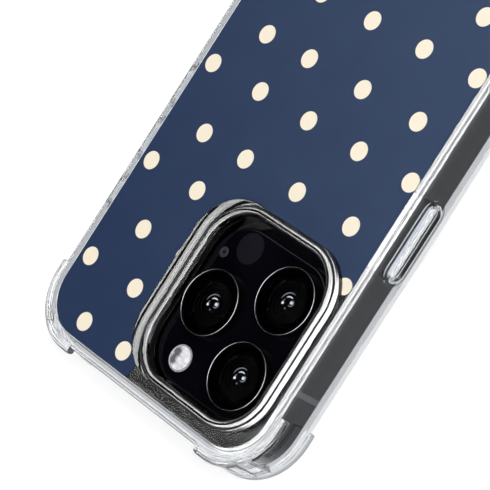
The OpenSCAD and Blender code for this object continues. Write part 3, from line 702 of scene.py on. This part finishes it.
class Wardrobe:
    """Makes each finish's material once and puts it on nodes and pieces."""

    def __init__(self) -> None:
        """Starts with no materials."""
        self.made: dict[str, bpy.types.Material] = {}

    def material(self, finish: Finish) -> bpy.types.Material:
        """The material of a finish.

        Args:
            finish: What it is made of.

        Returns:
            Its material, made on the first call.
        """
        if finish.name not in self.made:
            self.made[finish.name] = finish.material()
        return self.made[finish.name]

    def dress(self, finish: Finish, *nodes: str) -> None:
        """Puts a finish on CAD nodes.

        Args:
            finish: What it is made of.
            *nodes: Names of CAD nodes.
        """
        for name in nodes:
            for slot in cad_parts[name].material_slots:
                slot.material = self.material(finish)
            log.info("dressed %s in %s", name, finish.name)

    def piece(
        self, name: str, mesh: Mesh, finish: Finish, slot: str, body: Body = Body.PHONE, smooth: bool = True
    ) -> None:
        """Makes an object from a mesh and lets it ride on a body.

        Args:
            name: Piece name.
            mesh: The mesh in the row frame. It is freed.
            finish: What it is made of.
            slot: Name of the record's material slot for the piece; not used.
            body: The body that it rides on, the phone in its case unless another is given.
            smooth: Whether the faces are shaded smooth.
        """
        data = bpy.data.meshes.new(name)
        mesh.to_mesh(data)
        mesh.free()
        for face in data.polygons:
            face.use_smooth = smooth
        data.materials.append(self.material(finish))
        thing = bpy.data.objects.new(name, data)
        bpy.context.scene.collection.objects.link(thing)
        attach(thing, body.value)
        log.info("made %s", name)


def midpoint(low: Vector, high: Vector, height: float) -> Vector:
    """The middle between two corners, at a height."""
    return Vector(((low.x + high.x) / 2, (low.y + high.y) / 2, height))


def turned(profile: Sequence[Point], centre: Vector, steps: int = 96, closed: bool = False) -> Mesh:
    """Turns a profile about a vertical line.

    Args:
        profile: Radius and height of each point; radius 0 makes a pole.
        centre: Where the line stands; its height is the profile's zero.
        steps: Segments round the turn.
        closed: Whether the last point joins the first.

    Returns:
        The turned mesh.
    """
    mesh = bmesh.new()
    turns = [2 * math.pi * i / steps for i in range(steps)]
    rings: list[list[bmesh.types.BMVert]] = []
    for radius, height in profile:
        if radius < 1e-9:
            rings.append([mesh.verts.new(centre + Vector((0, 0, height)))])
            continue
        places = [(radius * math.cos(t), radius * math.sin(t), height) for t in turns]
        rings.append([mesh.verts.new(centre + Vector(place)) for place in places])
    pairs = list(zip(rings, rings[1:])) + ([(rings[-1], rings[0])] if closed else [])
    for low, high in pairs:
        for i in range(steps):
            j = (i + 1) % steps
            if len(low) == 1 and len(high) == 1:
                break
            if len(low) == 1:
                mesh.faces.new((low[0], high[j], high[i]))
            elif len(high) == 1:
                mesh.faces.new((low[i], low[j], high[0]))
            else:
                mesh.faces.new((low[i], low[j], high[j], high[i]))
    bmesh.ops.recalc_face_normals(mesh, faces=mesh.faces)
    return mesh


def arc(centre_r: float, centre_z: float, radius: float, start: float, end: float, steps: int) -> list[Point]:
    """Points of an arc in a profile.

    Args:
        centre_r: Distance of the arc's centre from the turning line.
        centre_z: Height of the arc's centre.
        radius: Arc radius.
        start: First angle in degrees, 0 outwards and 90 up.
        end: Last angle in degrees.
        steps: Number of segments.

    Returns:
        Radius and height of each point.
    """
    angles = [math.radians(start + (end - start) * i / steps) for i in range(steps + 1)]
    return [(centre_r + radius * math.cos(a), centre_z + radius * math.sin(a)) for a in angles]


def bent(
    centre: Vector,
    around: float,
    start: float,
    end: float,
    tube: Callable[[float], float],
    steps: int,
    sides: int = 12,
) -> Mesh:
    """A round bar bent about a vertical line.

    Args:
        centre: Middle of the bend.
        around: Radius of the bend.
        start: First angle in degrees.
        end: Last angle in degrees; a whole turn closes the bar.
        tube: Radius of the bar at an angle in degrees.
        steps: Segments along the bar.
        sides: Sides of the bar's section.

    Returns:
        The bar's mesh.
    """
    mesh = bmesh.new()
    whole = end - start >= 360
    turns = [2 * math.pi * k / sides for k in range(sides)]
    rings = []
    for i in range(steps if whole else steps + 1):
        angle = start + (end - start) * i / steps
        out = Vector((math.cos(math.radians(angle)), math.sin(math.radians(angle)), 0))
        radius = tube(angle)
        section = [(around + radius * math.cos(t), radius * math.sin(t)) for t in turns]
        rings.append([mesh.verts.new(centre + out * away + Vector((0, 0, up))) for away, up in section])
    for first, second in zip(rings, rings[1:] + (rings[:1] if whole else [])):
        for k in range(sides):
            j = (k + 1) % sides
            mesh.faces.new((first[k], first[j], second[j], second[k]))
    if not whole:
        mesh.faces.new(rings[0][::-1])
        mesh.faces.new(rings[-1])
    bmesh.ops.recalc_face_normals(mesh, faces=mesh.faces)
    return mesh


def outline(edge: Rounded, height: float, steps: int = 10) -> list[Vector]:
    """Points round a rounded rectangle.

    Args:
        edge: The rectangle.
        height: Height of the points.
        steps: Segments for each corner.

    Returns:
        The points, anticlockwise.
    """
    points = []
    low, high, corner = edge.low, edge.high, edge.corner
    middle = ((low.x + high.x) / 2, (low.y + high.y) / 2)
    for quarter, place in enumerate(((high.x, high.y), (low.x, high.y), (low.x, low.y), (high.x, low.y))):
        turn = [at - math.copysign(corner, at - half) for at, half in zip(place, middle)]
        for i in range(steps + 1):
            angle = math.radians(90 * (quarter + i / steps))
            points.append(Vector((*turn, height)) + Vector((math.cos(angle), math.sin(angle), 0)) * corner)
    return points


def hoop(edge: Rounded, width: float, base: float, top: float) -> Mesh:
    """A flat closed strip that follows a rounded rectangle.

    Args:
        edge: The strip's outside.
        width: Width of the strip.
        base: Height of its lower face.
        top: Height of its upper face.

    Returns:
        The strip's mesh.
    """
    mesh = bmesh.new()
    inner = edge.inset(width)
    sides = ((edge, base), (edge, top), (inner, top), (inner, base))
    loops = [[mesh.verts.new(point) for point in outline(*side)] for side in sides]
    for first, second in zip(loops, loops[1:] + loops[:1]):
        for i in range(len(first)):
            j = (i + 1) % len(first)
            mesh.faces.new((first[i], first[j], second[j], second[i]))
    bmesh.ops.recalc_face_normals(mesh, faces=mesh.faces)
    return mesh


def pads(boxes: Sequence[tuple[Vector, Vector]], edge: float) -> Mesh:
    """Small pads with rounded edges in one mesh.

    Args:
        boxes: Least and greatest corner of each pad.
        edge: Radius of the edges.

    Returns:
        The mesh of all pads.
    """
    mesh = bmesh.new()
    for low, high in boxes:
        size = Matrix.Diagonal((*(high - low), 1))
        bmesh.ops.create_cube(mesh, size=1, matrix=Matrix.Translation((low + high) / 2) @ size)
    bmesh.ops.bevel(mesh, geom=mesh.edges[:], offset=edge, segments=2, profile=0.5, affect="EDGES")
    return mesh


# ---- Sub-assemblies ----


@dataclass
class BumperCase:
    """The clear case: frame, back plate, camera guard and key covers, and the print on its back.

    Attributes:
        wardrobe: Source of materials.
        step_h: Height of the guard's low step over the print.
        guard_corner: Corner radius of the guard's outside.
        guard_wall: Thickness of the guard wall.
        plate_corner: Corner radius of the back plate.
        rim_tint: Colour of the rim.
        roof_start: Height over the key covers' middle where their roof starts to fall.
    """

    wardrobe: Wardrobe
    step_h: float = 0.7 * MM
    guard_corner: float = 11.65 * MM
    guard_wall: float = 2.35 * MM
    plate_corner: float = 10.1 * MM
    rim_tint: Colour = (0.92, 0.94, 0.965)
    roof_start: float = 0.4 * MM

    def build(self) -> None:
        """Dresses the case."""
        plateau_low, plateau_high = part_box("camera_plateau")
        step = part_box("print_field")[1].z + self.step_h
        low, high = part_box("camera_guard")
        wall = high.y - plateau_high.y
        guard_high = Vector((low.x + (plateau_high.x - plateau_low.x) + 2 * wall, high.y, high.z))
        wall_edge = Rounded(low, guard_high, self.guard_corner)
        guard = GuardMoulding("guard_moulding", wall_edge, step, self.guard_wall)
        plate_edge = Rounded(*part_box("back_plate"), self.plate_corner)
        rim = ClearMoulding("rim_moulding", self.rim_tint, edge=plate_edge)
        low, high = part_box("side_key_cover")
        cover = ClearMoulding("cover_moulding", roof_z=(low.z + high.z) / 2 + self.roof_start)
        dress = self.wardrobe.dress
        dress(guard, "camera_guard")
        dress(rim, "bumper_frame")
        dress(cover, "side_key_cover", "volume_up_cover", "volume_down_cover", "action_key_cover")
        dress(SHEET, "back_plate")
        dress(NAVY, "print_field")
        dress(CREAM, "print_dots")


@dataclass(frozen=True)
class Glint:
    """One painted reflection inside a lens, as a short pale bar, in millimetres and degrees round the lens
    middle.

    Attributes:
        x: Place of the curve's centre along X.
        y: Place of the curve's centre along Y.
        around: Radius of the curve.
        start: First angle.
        end: Last angle.
        thick: Radius of the section at the middle of the curve.
        bright: Whether it is bright or faint.
    """

    x: float
    y: float
    around: float
    start: float
    end: float
    thick: float
    bright: bool = True

    def tube(self, angle: float) -> float:
        """Radius of the section at an angle in degrees: full in the middle, nothing at both ends."""
        share = (angle - self.start) / (self.end - self.start)
        return self.thick * MM * max(0.02, math.sin(math.pi * share)) ** 0.5


@dataclass
class LensUnit:
    """One rear lens: ring, window, barrel and the glass elements inside.

    Attributes:
        wardrobe: Source of materials.
        prefix: Start of the node names.
        body: The body that focuses.
        GLINTS: The painted glints inside each lens: short pale bars that stand in for reflections.
        trim_r: Radius of the polished line's section.
        trim_inset: Distance from the ring's edge to the polished line.
        trim_least: Thinnest place of the line, as a share of its radius.
        glint_depth: Depth of the glints under the barrel's top.
        dome_depth: Depth of the front element's base under the barrel's top.
        dome_drop: Depth of the middle of the element's curve under that base.
        dome_r: Radius of the element's curve.
    """

    wardrobe: Wardrobe
    prefix: str
    body: Body
    GLINTS: ClassVar[tuple[Glint, ...]] = (
        Glint(0, 0, 2.2, -105, 0, 0.11, False),
        Glint(0, 0, 1.35, -112, -35, 0.14),
        Glint(-0.6, -0.3, 0.75, 60, 250, 0.13, False),
        Glint(-0.65, -0.37, 0.12, 0, 359, 0.3),
        Glint(1.38, 0.6, 0.1, 0, 359, 0.26),
        Glint(0.9, 0.1, 0.5, -60, 60, 0.1, False),
        Glint(0.02, 1.3, 0.05, 0, 359, 0.15, False),
    )
    trim_r: float = 0.066 * MM
    trim_inset: float = 0.2 * MM
    trim_least: float = 0.08
    glint_depth: float = 0.3 * MM
    dome_depth: float = 0.25 * MM
    dome_drop: float = 1.6 * MM
    dome_r: float = 1.1 * MM

    def trim(self) -> None:
        """Adds the thin polished line round the ring's outer top edge, finest towards the phone's ends."""
        low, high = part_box(f"{self.prefix}_lens_ring")
        around = (high.x - low.x) / 2 - self.trim_inset
        line = bent(midpoint(low, high, high.z), around, 0, 360, self.trim_tube, 144)
        self.wardrobe.piece(f"{self.prefix}_ring_trim", line, TRIM, "ring_metal")

    def trim_tube(self, angle: float) -> float:
        """Radius of the polished line's section at an angle in degrees."""
        sideways = abs(math.cos(math.radians(angle)))
        return self.trim_r * (self.trim_least + (1 - self.trim_least) * sideways**3)

    def glints(self) -> None:
        """Adds the painted glints round the barrel's middle: pale bars that stand in for reflections off the
        inner elements.
        """
        low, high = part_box(f"{self.prefix}_lens_barrel")
        middle = midpoint(low, high, high.z - self.glint_depth)
        for number, glint in enumerate(self.GLINTS):
            centre = middle + Vector((glint.x * MM, glint.y * MM, 0))
            mesh = bent(centre, glint.around * MM, glint.start, glint.end, glint.tube, 24)
            # Painted glints: the pale finishes stand in for reflections.
            finish = PAINTED_GLINT if glint.bright else PAINTED_FAINT_GLINT
            self.wardrobe.piece(f"{self.prefix}_glint_{number}", mesh, finish, "barrel_black", self.body)

    def element(self) -> None:
        """Adds the dark front element at the bottom of the barrel's funnel."""
        low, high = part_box(f"{self.prefix}_lens_barrel")
        dome = arc(0.0, -self.dome_drop, self.dome_r, 65, 90, 8)
        dome[-1] = (0.0, dome[-1][1])
        mesh = turned(dome, midpoint(low, high, high.z - self.dome_depth))
        self.wardrobe.piece(f"{self.prefix}_front_element", mesh, ELEMENT, "barrel_black", self.body)

    def build(self) -> None:
        """Adds the fine pieces and dresses the solids."""
        self.trim()
        self.element()
        self.glints()
        self.wardrobe.dress(RING, f"{self.prefix}_lens_ring")
        self.wardrobe.dress(LENS, f"{self.prefix}_lens_window")
        self.wardrobe.dress(BARREL, f"{self.prefix}_lens_barrel", f"{self.prefix}_sensor_block")


@dataclass
class CameraPlateau:
    """The raised glass with its lenses, flash, depth window and microphone.

    Attributes:
        wardrobe: Source of materials.
        bezel_r: Radius of the flash rim's section.
        mouth_r: Outside radius of the ring round the microphone's hole.
        mouth_hole_r: Inside radius of that ring.
        mouth_h: Thickness of that ring.
    """

    wardrobe: Wardrobe
    bezel_r: float = 0.2 * MM
    mouth_r: float = 1.25 * MM
    mouth_hole_r: float = 0.3 * MM
    mouth_h: float = 0.03 * MM

    def microphone(self) -> None:
        """Dresses the microphone and adds the thin ring round its hole."""
        low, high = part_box("rear_microphone")
        centre = midpoint(low, high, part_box("camera_plateau")[1].z)
        hole, edge, top = self.mouth_hole_r, self.mouth_r, self.mouth_h
        ring = [(hole, 0.0), (hole, top), (edge - top, top), (edge, 0.0)]
        self.wardrobe.piece("microphone_ring", turned(ring, centre, 64, True), GRILLE, "black_moulding")
        self.wardrobe.dress(GRILLE, "rear_microphone")

    def build(self) -> None:
        """Builds the lenses, the flash and the microphone, and dresses the rest."""
        self.wardrobe.dress(PLATEAU, "camera_plateau")
        for prefix, body in (("wide", Body.WIDE), ("ultrawide", Body.ULTRAWIDE), ("tele", Body.TELE)):
            LensUnit(self.wardrobe, prefix, body).build()
        low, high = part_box("flash_lens")
        centre = midpoint(low, high, high.z)
        rim = bent(centre, (high.x - low.x) / 2 - self.bezel_r, 0, 360, lambda angle: self.bezel_r, 96)
        self.wardrobe.dress(FlashLens(centre), "flash_lens")
        self.wardrobe.piece("flash_bezel_line", rim, BEZEL, "flash_plastic")
        self.wardrobe.dress(EMITTER, "flash_emitter")
        self.wardrobe.dress(DARK_WINDOW, "depth_window")
        self.wardrobe.dress(BLACK, "depth_sensor")
        self.microphone()


@dataclass
class PhoneBody:
    """The phone's band, glasses, keys, port and inner parts.

    Attributes:
        wardrobe: Source of materials.
        contact: Width, length and height of one port contact.
        contact_pitch: Distance between port contacts.
        contacts: Contacts on each face of the tongue.
        contact_inset: Distance from the tongue's tip to the contacts.
        contact_edge: Radius of a contact's edges.
        border: Distance from the glass's edge to the picture.
        border_w: Width of the line round the picture.
        screen_corner: Corner radius of the glass.
        print_h: Thickness of the marks on the glass.
        ring_r: Outside radius of the front camera's ring.
        ring_w: Width of that ring.
        lens_r: Radius of the front camera's lens.
        lens_top_r: Radius of the lens's flatter middle.
        slit: Length and width of the earpiece grille.
        slit_from_top: Distance from the phone's top end to the grille's middle.
        slit_z: Heights of the grille's faces over the outside of the screen glass.
    """

    wardrobe: Wardrobe
    contact: tuple[float, float, float] = (0.26 * MM, 2.9 * MM, 0.05 * MM)
    contact_pitch: float = 0.5 * MM
    contacts: int = 12
    contact_inset: float = 0.4 * MM
    contact_edge: float = 0.015 * MM
    border: float = 1.5 * MM
    border_w: float = 0.12 * MM
    screen_corner: float = 9.75 * MM
    print_h: float = 0.012 * MM
    ring_r: float = 1.7 * MM
    ring_w: float = 0.15 * MM
    lens_r: float = 0.8 * MM
    lens_top_r: float = 0.5 * MM
    slit: tuple[float, float] = (8.8 * MM, 0.8 * MM)
    slit_from_top: float = 2.6 * MM
    slit_z: tuple[float, float] = (0.15 * MM, 0.3 * MM)

    def port(self) -> None:
        """Adds the gilded contacts on both faces of the port's tongue."""
        low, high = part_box("port_tongue")
        width, length, height = self.contact
        start = (low.x + high.x) / 2 - self.contact_pitch * (self.contacts - 1) / 2
        front = low.y + self.contact_inset
        ends = ((-1, front), (1, front + length))
        boxes = [
            tuple(Vector((x + side * width / 2, y, z + side * height / 2)) for side, y in ends)
            for x in (start + self.contact_pitch * i for i in range(self.contacts))
            for z in (low.z, high.z)
        ]
        self.wardrobe.piece("port_contacts", pads(boxes, self.contact_edge), GOLD, "port_steel", smooth=False)

    def front(self) -> None:
        """Adds the picture's border, the front camera's ring and lens, and the earpiece grille."""
        piece, thin = self.wardrobe.piece, self.print_h
        low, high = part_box("screen_glass")
        picture = Rounded(low, high, self.screen_corner).inset(self.border)
        line = hoop(picture, self.border_w, low.z - thin, low.z + thin)
        piece("picture_border", line, BORDER, "screen_black")
        middle = midpoint(*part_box("front_camera"), low.z)
        inner = self.ring_r - self.ring_w
        ring = turned([(inner, -thin), (self.ring_r, 0.0), (inner, thin)], middle, 64, True)
        piece("front_camera_ring", ring, BORDER, "screen_black")
        bulge = [(0.0, -2 * thin), (self.lens_top_r, -1.5 * thin), (self.lens_r, 0.0), (0.0, 0.0)]
        piece("front_camera_lens", turned(bulge, middle, 48), FRONT_LENS, "lens_glass")
        length, width = self.slit
        slit_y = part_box("side_band")[1].y - self.slit_from_top
        ends = [Vector((side * length / 2, slit_y + side * width / 2, 0)) for side in (-1, 1)]
        faces = [low.z + height for height in self.slit_z]
        grille = hoop(Rounded(*ends, width / 2), width * 0.499, *faces)  # the strip all but meets in the middle
        piece("earpiece_grille", grille, GRILLE, "black_moulding", smooth=False)

    def build(self) -> None:
        """Adds the contacts and the marks on the screen side, and dresses the phone."""
        self.port()
        self.front()
        dress = self.wardrobe.dress
        dress(BAND, "side_band", "side_key", "volume_up_key", "volume_down_key", "action_key")
        dress(BREAK, "antenna_breaks")
        dress(BACK, "back_glass")
        dress(SCREEN, "screen_glass", "display_module")
        dress(TRAY, "midplate", "board_shields", "motor_case")
        dress(STEEL, "port_shell", "bottom_screws", "tray_screws", "motor_weight")
        dress(BLACK, "port_tongue", "port_block", "sound_meshes", "loudspeaker")
        dress(BLACK, "earpiece", "battery", "front_camera")
        dress(BOARD, "logic_board")
        dress(COPPER, "charging_coil", "display_flex", "key_switches")
        dress(NICKEL, "alignment_magnets")


# ---- Studio ----


@dataclass
class Lamp:
    """One soft rectangular lamp.

    Attributes:
        name: Lamp name.
        place: Where it hangs.
        side: Length of its side.
        power: Power in watts.
    """

    name: str
    place: tuple[float, float, float]
    side: float
    power: float

    def build(self, aim: Vector) -> None:
        """Hangs the lamp.

        Args:
            aim: The point that it shines on.
        """
        data = bpy.data.lights.new(self.name, "AREA")
        data.shape = "SQUARE"
        data.size = self.side
        data.energy = self.power
        lamp = bpy.data.objects.new(self.name, data)
        lamp.location = self.place
        lamp.rotation_euler = (aim - lamp.location).to_track_quat("-Z", "Y").to_euler()
        bpy.context.scene.collection.objects.link(lamp)
        log.info("hung %s", self.name)


@dataclass
class Studio:
    """Pale floor, soft lamps, an even white surround and the camera.

    Attributes:
        floor_side: Side of the floor.
        lens_mm: Focal length of the camera, in millimetres.
        sensor_mm: Width of its sensor, in millimetres.
        aim_side: Where the camera aims along X.
        aim_from_top: Distance of the aim from the phone's top end.
        distance: Distance of the camera from its aim.
        elevation: Angle of the camera over the floor, in degrees.
        heading: Direction of the camera round the vertical, in degrees.
        roll: Roll of the camera, in degrees.
        surround_level: Light of the surround on plain surfaces.
        sky_level: Brightness of the sky in mirrors.
        front_level: What the sky has more on the -X side.
        sky_edge: Heights between which the sky begins, from 0 at the horizon to 1 overhead.
        low_level: Brightness between the horizon and the sky in mirrors.
        low_edge: Heights between which that brightness begins.
        front_edge: Shares of -X between which front_level comes in.
        flag_level: Least brightness in mirrors.
        flag_way: Direction of the dark flag.
        flag_edge: Closeness to that direction between which the flag begins.
        floor_lift: Light that the floor gives to the camera.
        floor_mirror: Share of the floor's colour in mirrors.
        paper: Least brightness of the floor's colour.
        paper_grain: Range of its unevenness.
        lamp_aim: The point that the lamps shine on.
        lamps: The lamps.
    """

    floor_side: float = 6.0
    lens_mm: float = 181.4
    sensor_mm: float = 36.0
    aim_side: float = -4.6 * MM
    aim_from_top: float = 38.2 * MM
    distance: float = 523.6 * MM
    elevation: float = 48.7
    heading: float = 182.6
    roll: float = -59.4
    surround_level: float = 0.6
    sky_level: float = 13.0
    front_level: float = 8.0
    sky_edge: tuple[float, float] = (0.45, 0.65)
    low_level: float = 0.62
    low_edge: tuple[float, float] = (0.0, 0.1)
    front_edge: tuple[float, float] = (0.0, 0.4)
    flag_level: float = 0.05
    flag_way: tuple[float, float, float] = (0.655, 0.12, 0.746)
    flag_edge: tuple[float, float] = (0.93, 0.975)
    floor_lift: float = 0.38
    floor_mirror: float = 0.3
    paper: float = 0.79
    paper_grain: float = 0.02
    lamp_aim: tuple[float, float, float] = (0.0, 0.03, 0.0)
    lamps: tuple[Lamp, ...] = (
        Lamp("key_lamp", (-0.9, -0.5, 1.1), 0.8, 9.0),
        Lamp("fill_lamp", (-0.2, 1.1, 0.9), 0.9, 5.0),
    )

    def world(self) -> None:
        """Sets the surround: even on surfaces, white through glass, a sky with a dark flag in mirrors."""
        world = bpy.data.worlds.new("white_surround")
        bpy.context.scene.world = world
        world.use_nodes = True
        tree = Tree(world.node_tree)
        plus, less, times = tree.plus, tree.less, tree.times
        background = tree.nodes["Background"]
        background.inputs["Color"].default_value = (1, 1, 1, 1)
        direction = tree.nodes.new("ShaderNodeTexCoord").outputs["Generated"]
        path = tree.nodes.new("ShaderNodeLightPath").outputs
        seen, glossy, passed = (path[f"Is {kind} Ray"] for kind in ("Camera", "Glossy", "Transmission"))

        def step(level: Socket, start: float, end: float) -> Socket:
            """A smooth step from 0 at start to 1 at end."""
            return tree.ranged(level, True, From_Min=start, From_Max=end)

        way = tree.parts(direction)
        flag = tree.nodes.new("ShaderNodeVectorMath")
        flag.operation = "DOT_PRODUCT"
        flag.inputs[1].default_value = self.flag_way
        tree.links.new(direction, flag.inputs[0])
        open_side = less(1.0, step(flag.outputs["Value"], *self.flag_edge))
        lit = times(open_side, step(way["Z"], *self.sky_edge))
        low = times(times(open_side, step(way["Z"], *self.low_edge)), self.low_level)
        front = step(times(way["X"], -1.0), *self.front_edge)
        level = plus(self.sky_level, times(front, self.front_level))
        mirrored = plus(plus(self.flag_level, low), times(lit, level))
        behind = less(passed, times(passed, seen))
        mirror = times(glossy, less(1.0, behind))
        plain = less(less(less(1.0, seen), behind), mirror)
        total = plus(seen, times(plain, self.surround_level))
        total = plus(plus(total, times(behind, open_side)), times(mirror, mirrored))
        tree.links.new(total, background.inputs["Strength"])

    def floor(self) -> None:
        """Lays the pale floor, which the camera sees a little brighter than mirrors do."""
        mesh = bmesh.new()
        bmesh.ops.create_grid(mesh, x_segments=1, y_segments=1, size=self.floor_side / 2)
        data = bpy.data.meshes.new("floor")
        mesh.to_mesh(data)
        mesh.free()
        mix = Mix("floor_paper").set(Roughness=0.9, Specular_IOR_Level=0.0, Emission_Color=(1.0, 1.0, 1.0))
        path = mix.nodes.new("ShaderNodeLightPath").outputs
        paper = mix.plus(self.paper, mix.times(mix.noise(3, 2), self.paper_grain))
        mirror = mix.times(path["Is Glossy Ray"], mix.less(1.0, path["Is Transmission Ray"]))
        shade = mix.less(1.0, mix.times(mirror, 1.0 - self.floor_mirror))
        mix.feed("Base Color", mix.times(paper, shade))
        seen = mix.calc("MAXIMUM", path["Is Camera Ray"], path["Is Transmission Ray"])
        mix.feed("Emission Strength", mix.times(seen, self.floor_lift))
        data.materials.append(mix.material)
        floor = bpy.data.objects.new("floor", data)
        bpy.context.scene.collection.objects.link(floor)

    def camera(self) -> None:
        """Places the camera by its aim, heading, elevation and roll."""
        top, print_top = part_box("side_band")[1].y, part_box("print_field")[1].z
        aim = Vector((self.aim_side, top - self.aim_from_top, print_top))
        turn, rise = math.radians(self.heading), math.radians(self.elevation)
        back = Vector((math.cos(turn) * math.cos(rise), math.sin(turn) * math.cos(rise), math.sin(rise)))
        data = bpy.data.cameras.new("camera")
        data.lens = self.lens_mm
        data.sensor_width = self.sensor_mm
        data.clip_start = 0.01
        camera = bpy.data.objects.new("camera", data)
        upright = (-back).to_track_quat("-Z", "Y").to_matrix()
        tilt = Matrix.Rotation(math.radians(self.roll), 3, "Z")
        camera.matrix_world = Matrix.Translation(aim + back * self.distance) @ (upright @ tilt).to_4x4()
        bpy.context.scene.collection.objects.link(camera)
        bpy.context.scene.camera = camera

    def build(self) -> None:
        """Sets up the whole studio."""
        bpy.context.scene.view_settings.view_transform = "Standard"
        self.world()
        self.floor()
        for lamp in self.lamps:
            lamp.build(Vector(self.lamp_aim))
        self.camera()


def main() -> None:
    """Builds everything in order."""
    logging.basicConfig(level=logging.INFO, format="%(message)s")
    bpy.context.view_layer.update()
    wardrobe = Wardrobe()
    Studio().build()
    BumperCase(wardrobe).build()
    CameraPlateau(wardrobe).build()
    PhoneBody(wardrobe).build()


if __name__ == "__main__":
    main()
